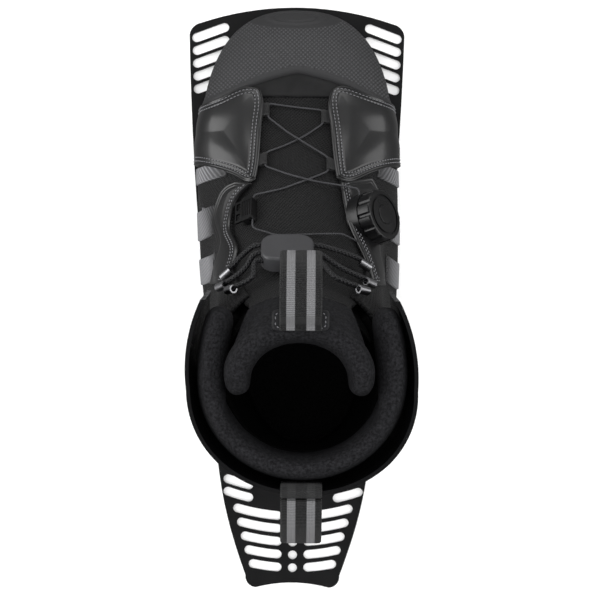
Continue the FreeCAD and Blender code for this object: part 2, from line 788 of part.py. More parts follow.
def lower_lace():
    lt, lm = loop_axis("left_top"), loop_axis("left_mid")
    rt, rm = loop_axis("right_top"), loop_axis("right_mid")
    stub = 2.2
    points = lace_ends[1] + [over_tongue(13.0, 75.5, 2.8), over_tongue(-4.0, 80.0, 2.6)]
    points += [beyond(lm[1], lm[0], stub), beyond(lm[0], lm[1], stub)]
    points += [over_tongue(-7.0, 101.0, 1.2), over_tongue(6.0, 107.5, 1.2)]
    points += [beyond(rt[1], rt[0], stub), beyond(rt[0], rt[1], stub)]
    points += [over_tongue(0.5, 127.5, 1.3)]
    points += [beyond(lt[0], lt[1], stub), beyond(lt[1], lt[0], stub)]
    points += [over_tongue(-6.0, 109.5, 2.8), over_tongue(8.0, 100.5, 2.8)]
    points += [beyond(rm[0], rm[1], stub), beyond(rm[1], rm[0], stub)]
    points += [over_tongue(8.0, 77.5, 1.2), over_tongue(0.7, 74.8, 1.4), over_tongue(-8.0, 71.5, 1.2)]
    points += guide_line()
    points += [over_tongue(-12.0, 40.5, 1.4), over_tongue(3.0, 41.0, 1.4), over_tongue(17.0, 41.0, 2.2)]
    points += lace_ends[-1][::-1]
    return cord(points, lace_r, 3.0)


def textile_loop(place):
    """Webbing folded round the lace, with its tail at the eyestay's edge."""
    x, y, sign = loop_places[place]
    ends = [V(*p) for p in loop_axis(place)]
    way = (ends[1] - ends[0]).normalize()
    normal = frame_on(form_liner_out, x, y)[1]
    middle = (ends[0] + ends[1]) * 0.5
    outer_r = loop_hole_r + loop_wall
    sleeve = Part.makeCylinder(outer_r, 2 * loop_half, V(0, -loop_half, 0), V(0, 1, 0))
    tail = Part.makeBox(4.6, 2 * loop_half, 1.4, V(0 if sign < 0 else -4.6, -loop_half, -0.2))
    bore = Part.makeCylinder(loop_hole_r, 2 * loop_half, V(0, -loop_half, 0), V(0, 1, 0))
    upright = (normal - way * normal.dot(way)).normalize()
    return placed(sleeve.fuse(tail).removeSplitter().cut(bore), middle, upright, way)


def guide_line():
    """The lace's way through the left guide."""
    x, y = guide_place
    top = over_tongue(x + 4.5, y + 10.5, 3.4)
    bottom = over_tongue(x + 4.5, y - 11.5, 3.4)
    return [top, bottom]


def left_lace_guide():
    """Moulded guide with ribs, a side flange and two windows."""
    top, bottom = [V(*p) for p in guide_line()]
    way = (top - bottom).normalize()
    normal = frame_on(form_liner_out, *guide_place)[1]
    normal = (normal - way * normal.dot(way)).normalize()
    middle = (top + bottom) * 0.5
    shell = block(8.6, 19.0, -2.6, 3.0)
    shell.translate(V(-1.6, 0, 0))
    shell = rounded(shell, 2.4, V(0, 0, 1))
    flange = Part.makeBox(6.5, 17.0, 1.4, V(-11.0, -8.5, 0.8))
    for k in (-1, 1):
        window = Part.makeBox(3.0, 5.4, 4.0, V(-10.0, k * 4.1 - 2.7, 0))
        flange = flange.cut(window)
    guide = shell.fuse(flange)
    for k in range(5):
        guide = guide.cut(Part.makeBox(0.7, 13.0, 0.6, V(-4.9 + 1.5 * k, -6.5, 2.5)))
    bore = Part.makeCylinder(lace_r + clearance, 40.0, V(0, -20.0, 0), V(0, 1, 0))
    return placed(guide.cut(bore).removeSplitter(), middle, normal, way)


# Upper cords, sleeves and cord lock

lock_point, lock_slope = frame_on(form_liner_out, *lock_place, 14.0)
lock_normal = V(0.0, lock_slope.y, lock_slope.z).normalize()
lock_middle = lock_point + lock_normal * (lock_t / 2 + lock_lift)


def at_lock(shape):
    return placed(shape, lock_middle, lock_normal)


cord_exits = [(sign, along) for sign in (-1, 1) for along in (8.5, 0.0, -8.5)]


def lock_exit(sign, along, out):
    """Point on the line of one cord hole of the lock."""
    point = placed(Part.Vertex(sign * out, along, 0.0), lock_middle, lock_normal).Point
    return (point.x, point.y, point.z)


cord_ends = {
    (-1, 8.5): [(-30.0, 24.0, 3.2), (-36.0, 17.0, 3.2), (-41.5, 12.0, 3.2)],
    (-1, 0.0): [(-28.0, 14.0, 3.4), (-36.0, 8.0, 3.3), (-44.0, 5.0, 3.2)],
    (-1, -8.5): [(-23.0, 8.0, 3.4), (-30.5, 4.0, 3.3), (-38.0, 2.5, 3.2)],
    (1, 8.5): [(27.0, 26.0, 3.2), (36.0, 23.0, 3.2), (43.5, 18.5, 3.2)],
    (1, 0.0): [(26.0, 15.0, 3.4), (37.0, 10.5, 3.3), (46.0, 7.5, 3.2)],
    (1, -8.5): [(23.0, 8.0, 3.4), (32.5, 4.5, 3.3), (41.5, 2.5, 3.2)],
}


def cord_points(key):
    sign, along = key
    points = [lock_exit(sign, along, lock_width / 2 - 5.0), lock_exit(sign, along, lock_width / 2 + 4.0)]
    return points + [over_upper(*p) for p in cord_ends[key]]


def upper_cord():
    return Part.makeCompound([cord(cord_points(key), cord_r, 12.0) for key in cord_ends])


def cord_sleeves():
    """Metal sleeves that end the cords at the cuff's flaps."""
    sleeves = []
    for key in cord_ends:
        points = cord_points(key)
        tip, before = V(*points[-1]), V(*points[-2])
        way = (tip - before).normalize()
        start = tip - way * (sleeve_length - 3.0)
        tube = Part.makeCylinder(sleeve_r, sleeve_length, start, way)
        bore = Part.makeCylinder(cord_r + fit_gap, sleeve_length - 2.8, start, way)
        sleeves.append(tube.cut(bore))
    return Part.makeCompound(sleeves)


def cord_lock_body():
    body = rounded(block(lock_width, lock_length, -lock_t / 2, lock_t / 2), 9.0, V(0, 0, 1))
    top = [e for e in body.Edges if e.BoundBox.ZMin > lock_t / 2 - 0.1]
    body = body.makeFillet(1.8, top)
    cuts = []
    for sign, along in cord_exits:
        cuts.append(Part.makeCylinder(cord_r + clearance, 6.0, V(sign * (lock_width / 2 + 0.2), along, 0), V(-sign, 0, 0)))
    cuts.append(Part.makeCylinder(3.6, 15.0, V(0, -lock_length / 2, 0), V(0, 1, 0)))
    return at_lock(body.cut(cuts))


def cord_lock_button():
    rear = -lock_length / 2
    stem = Part.makeCylinder(3.4, 10.0, V(0, rear - 0.5 - button_travel, 0), V(0, 1, 0))
    head = Part.makeCylinder(4.2, 2.4, V(0, rear - 2.4 - 0.4 - button_travel, 0), V(0, 1, 0))
    return at_lock(stem.fuse(head).removeSplitter())


def cord_lock_spring():
    """Coil spring behind the button's stem."""
    start = -lock_length / 2 + 10.0 - 0.5 - button_travel + 0.2
    length = -lock_length / 2 + 15.0 - start - 0.1
    wire_r, coil_r, turns = 0.35, 2.4, 4.0
    helix = Part.makeHelix((length - 2 * wire_r) / turns, length - 2 * wire_r, coil_r)
    profile = Part.Wire(Part.Circle(V(coil_r, 0, 0), V(0, 1, 0), wire_r).toShape())
    spring = Part.Wire(helix).makePipeShell([profile], True, True)
    spring.rotate(V(0, 0, 0), V(1, 0, 0), -90)
    spring.translate(V(0, start + wire_r, 0))
    return at_lock(spring)


# Pull loops and their anchors

def band_loop(runs, thickness, width, middle_x):
    """Webbing bent along a closed line in the side plane."""
    edges = []
    for run in runs:
        points = [V(middle_x - width / 2, y, z) for y, z in run]
        maker = Part.LineSegment if len(points) == 2 else Part.Arc
        edges.append(maker(*points).toShape())
    wire = Part.Wire(edges)
    face = Part.Face(wire)
    inner_wire = wire.makeOffset2D(-thickness)
    ring = face.cut(Part.Face(inner_wire))
    return ring.extrude(V(width, 0, 0))


tongue_loop_x = leg_x - 1.2
patch_width, patch_depth = 34.0, 2.0
patch_top = tongue_pad_top + 0.2


def tongue_patch():
    """Stitched patch over the front of the tongue pad."""
    patch = Part.makeBox(patch_width, 13.0, patch_depth, V(tongue_loop_x - patch_width / 2, -20.0, patch_top))
    return rounded(patch, 4.0, V(0, 0, 1))


def tongue_pull_loop():
    z = patch_top + patch_depth + clearance
    runs = [[(-16.0, z), (-4.0, z), ], [(-4.0, z), (12.0, z - 3.0), (24.0, z - 13.0)],
            [(24.0, z - 13.0), (27.5, z - 13.0), (27.0, z - 8.5)],
            [(27.0, z - 8.5), (14.0, z + 9.5), (-4.0, z + 13.5)], [(-4.0, z + 13.5), (-12.0, z + 11.0), (-16.0, z)]]
    return band_loop(runs, strap_t, strap_width, tongue_loop_x)


def heel_loop_tab():
    """Webbing folded over the cuff's rim, stitched inside and outside."""
    rim_y = cuff_rim_rear()
    t = 1.4
    inside = rim_y + cuff_t + 2.8
    outside = rim_y - 0.35
    top = cuff_rim + 0.3
    leg = Part.makeBox(strap_width, t, top - 196.0, V(leg_x - strap_width / 2, inside, 196.0))
    over_rim = Part.makeBox(strap_width, inside - outside + 2 * t, t, V(leg_x - strap_width / 2, outside - t, top))
    drop = Part.makeBox(strap_width, t, top - 208.0, V(leg_x - strap_width / 2, outside - t, 208.0))
    return leg.fuse([over_rim, drop]).removeSplitter()


def cuff_rim_rear():
    low, high = cuff_rows[-2], cuff_rows[-1]
    share = (cuff_rim - low[0]) / (high[0] - low[0])
    return low[1] + (high[1] - low[1]) * share


def heel_pull_loop():
    y = cuff_rim_rear() - 0.35 - 1.4 - clearance
    z = 222.0
    runs = [[(y, z), (y, z - 12.0)], [(y, z - 12.0), (y - 14.0, z - 24.0), (y - 27.0, z - 33.0)],
            [(y - 27.0, z - 33.0), (y - 30.5, z - 31.0), (y - 29.0, z - 27.0)],
            [(y - 29.0, z - 27.0), (y - 16.0, z - 7.0), (y, z)]]
    return band_loop(runs, strap_t, strap_width, leg_x)


# Rivets

def side_point(shape, y, z, sign):
    """Point on a shape's side at a height and a station."""
    line = Part.LineSegment(V(leg_x, y, z), V(leg_x + sign * 150, y, z)).toShape()
    box = line.common(shape).BoundBox
    return V(box.XMax if sign > 0 else box.XMin, y, z)


def cuff_rivet(y, z, sign, radius, grow):
    """Rivet from outside the cuff into the quarter's wall."""
    point = side_point(cuff_out, y, z, sign)
    stem_r = rivet_stem_r + grow
    stem = Part.makeCylinder(stem_r, rivet_depth + rivet_seat, point + V(sign * rivet_seat, 0, 0), V(-sign, 0, 0))
    if not radius:
        return stem
    head = Part.makeCylinder(radius, rivet_head_t, point + V(sign * rivet_seat, 0, 0), V(sign, 0, 0))
    return stem.fuse(head).removeSplitter()


def cuff_rivets():
    return Part.makeCompound([cuff_rivet(y, z, sign, rivet_r, 0.0) for y, z in rivet_places for sign in (1, -1)])


def rivet_holes():
    return [cuff_rivet(y, z, sign, 0.0, fit_gap) for y, z in rivet_places for sign in (1, -1)]


def build():
    save(base_plate(), "base_plate")
    save(outsole(), "outsole")
    save(sole_screws(), "sole_screws")
    save(sole_tee_nuts(), "sole_tee_nuts")
    save(sole_slice(-wall_t - 1.0, sole_top, board_top), "lasting_board")
    footbed_gap = wall_t + 2 * layer_gap + liner_t + 1.0
    save(sole_slice(-footbed_gap, board_top, footbed_top), "footbed")
    cap, bumper = toe_cap()
    save(cap, "toe_cap")
    save(bumper, "toe_bumper")
    save(vamp(), "vamp")
    left, right = quarter(-1, instep_left), quarter(1, instep_right)
    save(left, "left_quarter")
    save(right, "right_quarter")
    save(largest(over.common(prism(overlay_left))), "left_overlay")
    save(largest(over.common(prism(overlay_right)).cut(dial_well)), "right_overlay")
    save(largest(over.common(prism(eyestay_left))), "left_eyestay")
    save(largest(over.common(prism(eyestay_right)).cut([dial_well] + lace_ways())), "right_eyestay")
    save(bands(-1), "left_side_bands")
    save(bands(1), "right_side_bands")
    save(heel_counter(), "heel_counter")
    save(cuff_rivets(), "cuff_rivets")
    save(liner(), "liner")
    save(tongue(), "tongue")
    save(cuff_shell(), "cuff_shell")
    save(collar_pad(), "collar_pad")
    save(tongue_pad(), "tongue_pad")
    save(dial_housing().cut(form_liner_out), "dial_housing")
    save(dial_spool(), "dial_spool")
    save(dial_axle(), "dial_axle")
    save(dial_knob(), "dial_knob")
    save(dial_pawl_disc(), "dial_pawl_disc")
    save(dial_cap(), "dial_cap")
    save(lower_lace(), "lower_lace")
    edges = [over.common(prism(o)) for o in over_outlines[:2]] + [vamp(), left, right]
    for place in loop_places:
        save(largest(textile_loop(place).cut(edges)), place + "_lace_loop")
    save(left_lace_guide(), "left_lace_guide")
    save(upper_cord(), "upper_cord")
    save(cord_sleeves(), "cord_sleeves")
    save(cord_lock_body(), "cord_lock_body")
    save(cord_lock_button(), "cord_lock_button")
    save(cord_lock_spring(), "cord_lock_spring")
    save(tongue_patch(), "tongue_patch")
    save(tongue_pull_loop(), "tongue_pull_loop")
    save(heel_loop_tab(), "heel_loop_tab")
    save(heel_pull_loop(), "heel_pull_loop")


build()
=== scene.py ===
import json
import math

import bpy
import numpy as np
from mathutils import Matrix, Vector


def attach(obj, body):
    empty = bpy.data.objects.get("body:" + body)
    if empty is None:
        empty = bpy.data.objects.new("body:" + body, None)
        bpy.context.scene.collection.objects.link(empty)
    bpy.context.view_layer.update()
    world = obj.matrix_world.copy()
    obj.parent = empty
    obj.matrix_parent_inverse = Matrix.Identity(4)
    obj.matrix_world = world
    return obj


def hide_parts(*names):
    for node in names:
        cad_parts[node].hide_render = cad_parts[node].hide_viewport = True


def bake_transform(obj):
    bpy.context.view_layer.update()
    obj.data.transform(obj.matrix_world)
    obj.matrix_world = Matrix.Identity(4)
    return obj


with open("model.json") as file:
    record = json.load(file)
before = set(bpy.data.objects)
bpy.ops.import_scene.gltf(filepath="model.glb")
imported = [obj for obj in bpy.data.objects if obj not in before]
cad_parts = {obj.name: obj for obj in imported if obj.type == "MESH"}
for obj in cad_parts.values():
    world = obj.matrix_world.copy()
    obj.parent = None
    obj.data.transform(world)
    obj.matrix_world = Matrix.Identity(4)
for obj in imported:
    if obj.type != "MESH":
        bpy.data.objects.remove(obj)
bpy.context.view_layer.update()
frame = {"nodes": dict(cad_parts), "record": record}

# Water-ski boot on its slotted plate. Lengths are millimetres here; MM turns them into the scene's metres.
MM = 0.001
NODES = frame["nodes"]

# Boot form: height, rear, widest line, front, half width, front and rear squareness
FORM = [
    (5.0, -108.0, 105.0, 193.0, 60.0, 2.5, 3.0),
    (20.0, -112.0, 105.0, 198.0, 64.5, 2.5, 3.0),
    (40.0, -114.0, 90.0, 189.0, 67.0, 2.4, 2.8),
    (60.0, -112.0, 70.0, 165.0, 66.5, 2.3, 2.6),
    (80.0, -107.0, 50.0, 118.0, 59.0, 1.9, 2.5),
    (100.0, -103.0, 25.0, 88.0, 54.0, 1.7, 2.4),
    (125.0, -101.0, 0.0, 54.0, 53.0, 1.7, 2.3),
    (150.0, -101.0, -30.0, 27.0, 54.0, 1.9, 2.2),
    (175.0, -104.0, -45.0, 11.0, 56.0, 2.0, 2.2),
    (210.0, -106.0, -50.0, -2.0, 57.0, 2.2, 2.2),
]
SOLE_TOP = 9.2
UPPER_TOP = 172.0
LEG_X = 5.4

# Heights of the layers over the form's skin
WALL_IN = -2.3
TONGUE_OUT, TONGUE_IN = -2.6, -7.6
LINER_OUT, LINER_IN = -3.0, -8.8
OVER_IN, OVER_OUT = 0.2, 1.9
BAND_OUT = 1.1

COLLAR_LOW, COLLAR_TOP = 172.4, 226.0
TONGUE_PAD_LOW, TONGUE_PAD_TOP = 196.4, 241.0
STRAP_WIDTH, STRAP_T = 25.0, 2.2


# Curves and the boot's surface

def spline(xs, ys):
    """Natural cubic through the points, held level beyond its ends."""
    xs, ys = np.array(xs, float), np.array(ys, float)
    n, h = len(xs), np.diff(xs)
    system, right = np.eye(n), np.zeros(n)
    for i in range(1, n - 1):
        system[i, i - 1:i + 2] = h[i - 1], 2 * (h[i - 1] + h[i]), h[i]
        right[i] = 6 * ((ys[i + 1] - ys[i]) / h[i] - (ys[i] - ys[i - 1]) / h[i - 1])
    bend = np.linalg.solve(system, right)

    def value(x):
        x = np.clip(x, xs[0], xs[-1])
        i = np.clip(np.searchsorted(xs, x) - 1, 0, n - 2)
        a, b, step = xs[i + 1] - x, x - xs[i], h[i]
        curved = (bend[i] * a ** 3 + bend[i + 1] * b ** 3) / (6 * step)
        return curved + (ys[i] / step - bend[i] * step / 6) * a + (ys[i + 1] / step - bend[i + 1] * step / 6) * b

    return value


def lengths(line):
    return np.r_[0, np.cumsum(np.linalg.norm(np.diff(line, axis=0), axis=1))]


def even(line, count):
    """The same line with evenly spaced points."""
    along = lengths(line)
    at = np.linspace(0, along[-1], count)
    return np.stack([np.interp(at, along, line[:, k]) for k in range(line.shape[1])], 1)


def through(points, count=160):
    """Smooth line through the points, evenly divided."""
    points = np.array(points, float)
    if len(points) == 2:
        return points[0] + np.linspace(0, 1, count)[:, None] * (points[1] - points[0])
    along = lengths(points)
    fine = np.linspace(0, along[-1], 600)
    return even(np.stack([spline(along, points[:, k])(fine) for k in range(points.shape[1])], 1), count)


def centre_x(y):
    return 0.7 + 0.03 * np.maximum(0, 100 - y)


heights, *columns = zip(*FORM)
form_rear, form_middle, form_front, form_half, form_nf, form_nr = [spline(heights, c) for c in columns]
LEVELS = np.arange(9.0, 214.0, 0.25)


def reach_at(y, z):
    """Share of the way from the form's widest line to its end, and the squareness there."""
    middle = form_middle(z)
    ahead = y > middle
    reach = np.where(ahead, form_front(z) - middle, middle - form_rear(z))
    return (y - middle) / reach, np.where(ahead, form_nf(z), form_nr(z))


def half_at(y, z):
    share, n = reach_at(y, z)
    return form_half(z) * np.clip(1 - np.abs(share) ** n, 0, None) ** (1 / n)


def surface(turn, z):
    """Points of the form: turn goes round it, from the heel (-90) by the right side and the toe (90) to the heel (270)."""
    c, s = np.cos(np.radians(turn)), np.sin(np.radians(turn))
    middle = form_middle(z)
    reach = np.where(s >= 0, form_front(z) - middle, middle - form_rear(z))
    power = 2 / np.where(s >= 0, form_nf(z), form_nr(z))
    y = middle + np.sign(s) * np.abs(s) ** power * reach
    x = centre_x(y) + np.sign(c) * np.abs(c) ** power * form_half(z)
    return np.stack([x, y, z + 0 * x], -1)


def turn_from(s, c):
    turn = np.degrees(np.arctan2(s, c))
    return np.where(turn < -90, turn + 360, turn)


def on_plan(x, y):
    """Chart (turn, height) of plan points on the form's top side, and whether each lies on it."""
    x, y = np.atleast_1d(np.asarray(x, float)), np.atleast_1d(np.asarray(y, float))
    half = half_at(y[:, None], LEVELS[None])
    reach = np.maximum(np.abs(x - centre_x(y)), 0.05)
    inside = half >= reach[:, None]
    rows = np.arange(len(x))
    top = np.where(inside.any(1), len(LEVELS) - 1 - np.argmax(inside[:, ::-1], 1), np.argmax(half, 1))
    after = np.minimum(top + 1, len(LEVELS) - 1)
    drop = np.maximum(half[rows, top] - half[rows, after], 1e-6)
    z = LEVELS[top] + 0.25 * np.clip((half[rows, top] - reach) / drop, 0, 1)
    share, n = reach_at(y, z)
    s = np.sign(share) * np.abs(share) ** (n / 2)
    c = np.sign(x - centre_x(y)) * (reach / form_half(z)) ** (n / 2)
    return np.stack([turn_from(s, c), z], 1), reach < 0.985 * half.max(1)


def on_wall(y, z, side):
    """Chart of points on one side of the form by station and height."""
    y, z = np.broadcast_arrays(np.asarray(y, float), np.asarray(z, float))
    share, n = reach_at(y, z)
    s = np.sign(share) * np.clip(np.abs(share), 0, 1) ** (n / 2)
    return np.stack([turn_from(s, side * np.sqrt(1 - s ** 2)), z], -1)


def plan_line(points):
    line = through(points)
    return on_plan(line[:, 0], line[:, 1])[0]


def line_to_sole(points, side):
    """Plan line that runs off the top of the form and on down its side to the sole."""
    line = through(points)
    chart, inside = on_plan(line[:, 0], line[:, 1])
    last = len(line) if inside.all() else int(np.argmin(inside))
    start = chart[last - 1, 1]
    line = np.concatenate([chart[:last], on_wall(line[last - 1, 1], np.linspace(start, SOLE_TOP, 80)[1:], side)])
    line = even_chart(line, 240)
    for _ in range(30):
        line[1:-1] = (line[:-2] + 2 * line[1:-1] + line[2:]) / 4
    return line


def level_line(start, end, z=SOLE_TOP):
    return np.stack([np.linspace(start, end, 200), np.full(200, z)], 1)


def even_chart(line, count):
    along = lengths(surface(line[:, 0], line[:, 1]))
    at = np.linspace(0, along[-1], count)
    return np.stack([np.interp(at, along, line[:, k]) for k in (0, 1)], 1)


def coons(first, last, left, right):
    """Grid between four lines: first and last run left to right, left and right run first to last."""
    u = np.linspace(0, 1, len(first))[:, None, None]
    v = np.linspace(0, 1, len(left))[None, :, None]
    grid = (1 - v) * first[:, None] + v * last[:, None] + (1 - u) * left[None] + u * right[None]
    return grid - ((1 - u) * (1 - v) * first[0] + u * (1 - v) * first[-1] + (1 - u) * v * last[0] + u * v * last[-1])


def softened(n, passes):
    """Unit vectors of a grid, each evened out with its neighbours."""
    for _ in range(passes):
        padded = np.pad(n, ((1, 1), (1, 1), (0, 0)), mode="edge")
        n = padded[:-2, 1:-1] + padded[2:, 1:-1] + padded[1:-1, :-2] + padded[1:-1, 2:] + 2 * n
        n /= np.maximum(np.linalg.norm(n, axis=2, keepdims=True), 1e-9)
    return n


def normals_of(points):
    """Outward normals of a grid of points."""
    a, b = np.gradient(points, axis=0), np.gradient(points, axis=1)
    n = np.cross(a, b)
    n /= np.maximum(np.linalg.norm(n, axis=2, keepdims=True), 1e-9)
    core = np.stack([centre_x(points[..., 1]), 0.86 * points[..., 1], np.minimum(points[..., 2] - 25, 60)], -1)
    if (n * (points - core)).sum(2).mean() < 0:
        n = -n
    return softened(n, 2)


def form_normals(turn, z):
    """Outward normals of the form at chart points."""
    around = surface(turn + 0.5, z) - surface(turn - 0.5, z)
    up = surface(turn, z + 0.5) - surface(turn, z - 0.5)
    n = np.cross(around, up)
    return n / np.maximum(np.linalg.norm(n, axis=2, keepdims=True), 1e-9)


class Patch:
    """Grid laid on the form between four chart lines."""

    def __init__(self, first, last, left, right, across, along):
        chart = coons(even_chart(first, across), even_chart(last, across), even_chart(left, along),
                      even_chart(right, along))
        for _ in range(25):
            chart[1:-1, 1:-1] = (chart[:-2, 1:-1] + chart[2:, 1:-1] + chart[1:-1, :-2] + chart[1:-1, 2:]) / 4
        self.points = surface(chart[..., 0], chart[..., 1])
        self.normals = softened(form_normals(chart[..., 0], chart[..., 1]), 3)
        self.x_mm = np.concatenate([np.zeros((1, along)), np.cumsum(np.linalg.norm(
            np.diff(self.points, axis=0), axis=2), 0)])
        self.y_mm = np.concatenate([np.zeros((across, 1)), np.cumsum(np.linalg.norm(
            np.diff(self.points, axis=1), axis=2), 1)], 1)

    def edge_distance(self, sides="lrfb"):
        """Distance of each point to the named borders: left, right, first and last."""
        p = self.points
        border = {"l": p[0], "r": p[-1], "f": p[:, 0], "b": p[:, -1]}
        line = np.concatenate([border[s] for s in sides])
        best = np.full(p.shape[:2], 1e9)
        for part in np.array_split(line, 12):
            best = np.minimum(best, np.linalg.norm(p[:, :, None] - part, axis=3).min(2))
        return best

    def inset(self, distance, height, ends=(0.0, 0.0)):
        """Line at a distance from the left border that turns along the first and last ones."""
        nu, nv = self.points.shape[:2]
        left = np.array([np.interp(distance, self.x_mm[:, j], np.arange(nu)) for j in range(nv)])
        first = np.array([np.interp(distance, self.y_mm[i], np.arange(nv)) for i in range(nu)])
        last = np.array([np.interp(self.y_mm[i, -1] - distance, self.y_mm[i], np.arange(nv)) for i in range(nu)])
        low, high = int(nu * (1 - ends[0])) - 1, int(nu * (1 - ends[1])) - 1
        run = [(i, first[i]) for i in range(low, 0, -1) if i > np.interp(first[i], np.arange(nv), left)]
        run += [(left[j], j) for j in range(nv)
                if np.interp(left[j], np.arange(nu), first) < j < np.interp(left[j], np.arange(nu), last)]
        run += [(i, last[i]) for i in range(1, high) if i > np.interp(last[i], np.arange(nv), left)]
        run = np.array(run)
        for _ in range(3):
            run[1:-1] = (run[:-2] + 2 * run[1:-1] + run[2:]) / 4
        i, j = np.clip(run[:, 0], 0, nu - 1.001), np.clip(run[:, 1], 0, nv - 1.001)
        a, b, fa, fb = i.astype(int), j.astype(int), (i % 1)[:, None], (j % 1)[:, None]

        def read(grid):
            return ((grid[a, b] * (1 - fa) + grid[a + 1, b] * fa) * (1 - fb)
                    + (grid[a, b + 1] * (1 - fa) + grid[a + 1, b + 1] * fa) * fb)

        normals = read(self.normals)
        return read(self.points) + normals * height, normals


# Mesh building

def add_piece(name, verts, faces, slot, body="boot", uv=None, edge=None, smooth=True, finish=None):
    mesh = bpy.data.meshes.new(name)
    mesh.from_pydata((np.asarray(verts) * MM).tolist(), [], faces)
    mesh.polygons.foreach_set("use_smooth", [smooth] * len(mesh.polygons))
    if uv is not None:
        layer = mesh.uv_layers.new(name="cut")
        loops = np.zeros(len(mesh.loops), int)
        mesh.loops.foreach_get("vertex_index", loops)
        layer.data.foreach_set("uv", np.asarray(uv, float)[loops].ravel())
    if edge is not None:
        mesh.attributes.new("edge_mm", "FLOAT", "POINT").data.foreach_set("value", np.asarray(edge, float))
    obj = bpy.data.objects.new(name, mesh)
    bpy.context.scene.collection.objects.link(obj)
    obj.data.materials.append(MATERIALS[finish or slot])
    if body:
        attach(obj, body)
    return obj


def grid_faces(nu, nv, first=0, flip=False):
    faces = []
    for i in range(nu - 1):
        for j in range(nv - 1):
            a, b = first + i * nv + j, first + (i + 1) * nv + j
            faces.append((a, a + 1, b + 1, b) if flip else (a, b, b + 1, a + 1))
    return faces


def sheet_piece(name, patch, top, bottom, slot, edge=None, finish=None):
    """Closed sheet on a patch: top heights above the form, a flat underside and a rim."""
    nu, nv = patch.points.shape[:2]
    top = np.broadcast_to(top, (nu, nv))[..., None]
    verts = np.concatenate([(patch.points + patch.normals * top).reshape(-1, 3),
                            (patch.points + patch.normals * bottom).reshape(-1, 3)])
    n = nu * nv
    a, b = patch.points[1, nv // 2] - patch.points[0, nv // 2], patch.points[0, nv // 2 + 1] - patch.points[0, nv // 2]
    flip = np.dot(np.cross(a, b), patch.normals[0, nv // 2]) < 0
    faces = grid_faces(nu, nv, 0, flip) + grid_faces(nu, nv, n, not flip)
    ring = [i * nv for i in range(nu)] + [(nu - 1) * nv + j for j in range(1, nv)]
    ring += [i * nv + nv - 1 for i in range(nu - 2, -1, -1)] + list(range(nv - 2, 0, -1))
    for p, q in zip(ring, ring[1:] + ring[:1]):
        faces.append((q, p, p + n, q + n) if not flip else (p, q, q + n, p + n))
    uv = np.stack([patch.x_mm.ravel(), patch.y_mm.ravel()], 1)
    edges = np.full(n, 9.0) if edge is None else edge.ravel()
    return add_piece(name, verts, faces, slot, uv=np.concatenate([uv, uv]), edge=np.r_[edges, edges], finish=finish)


def rolled(distance, low, high, radius):
    """Height of a sheet whose border rolls over in a quarter round."""
    e = np.clip(distance / radius, 0, 1)
    return low + (high - low) * np.sqrt(np.clip(1 - (1 - e) ** 2, 0, 1))


def dent(distance, at, width, depth):
    """Groove along a line at a distance from the border."""
    return -depth * np.exp(-((distance - at) / width) ** 2)


def tube(name, path, radius, slot, body="boot", sides=14, finish=None):
    """Round tube along a line of points, closed at both ends."""
    path = np.asarray(path, float)
    way = np.gradient(path, axis=0)
    way /= np.linalg.norm(way, axis=1, keepdims=True)
    side = np.cross(way[0], [0.31, 0.22, 0.92])
    rings = []
    turn = np.linspace(0, 2 * math.pi, sides, endpoint=False)[:, None]
    for p, d, r in zip(path, way, np.broadcast_to(radius, len(path))):
        side = side - d * side.dot(d)
        side /= np.linalg.norm(side)
        rings.append(p + r * (np.cos(turn) * side + np.sin(turn) * np.cross(d, side)))
    verts = np.array(rings).reshape(-1, 3)
    faces = []
    for i in range(len(path) - 1):
        for k in range(sides):
            a, b = i * sides + k, i * sides + (k + 1) % sides
            faces.append((a, b, b + sides, a + sides))
    faces.append(tuple(range(sides))[::-1])
    faces.append(tuple(range(len(verts) - sides, len(verts))))
    uv = np.stack([np.tile(np.arange(sides) / sides, len(path)), np.repeat(lengths(path), sides)], 1)
    return add_piece(name, verts, faces, slot, body, uv=uv, finish=finish)


def stitches(name, line, slot, finish="thread", pitch=2.6, length=1.8, radius=0.34, body="boot"):
    """Row of short thread humps along a line of (points, normals)."""
    points, normals = line
    along = lengths(points)
    verts, faces, sides = [], [], 6
    for k in range(int(along[-1] / pitch)):
        middle = (k + 0.5) * pitch
        run = np.linspace(middle - length / 2, middle + length / 2, 5)
        spine = np.stack([np.interp(run, along, points[:, c]) for c in range(3)], 1)
        up = np.array([np.interp(middle, along, normals[:, c]) for c in range(3)])
        up /= np.linalg.norm(up)
        way = spine[-1] - spine[0]
        side = np.cross(way / np.linalg.norm(way), up)
        first = len(verts)
        for p, dip, size in zip(spine, (-0.35, 0.05, 0.18, 0.05, -0.35), (0.5, 0.95, 1.0, 0.95, 0.5)):
            for s in range(sides):
                a = 2 * math.pi * s / sides
                verts.append(p + up * (dip + size * radius * math.sin(a)) + side * size * radius * math.cos(a))
        for i in range(4):
            for s in range(sides):
                a, b = first + i * sides + s, first + i * sides + (s + 1) % sides
                faces.append((a, b, b + sides, a + sides))
        faces.append(tuple(first + s for s in range(sides))[::-1])
        faces.append(tuple(first + 4 * sides + s for s in range(sides)))
    return add_piece(name, np.array(verts), faces, slot, body, finish=finish)


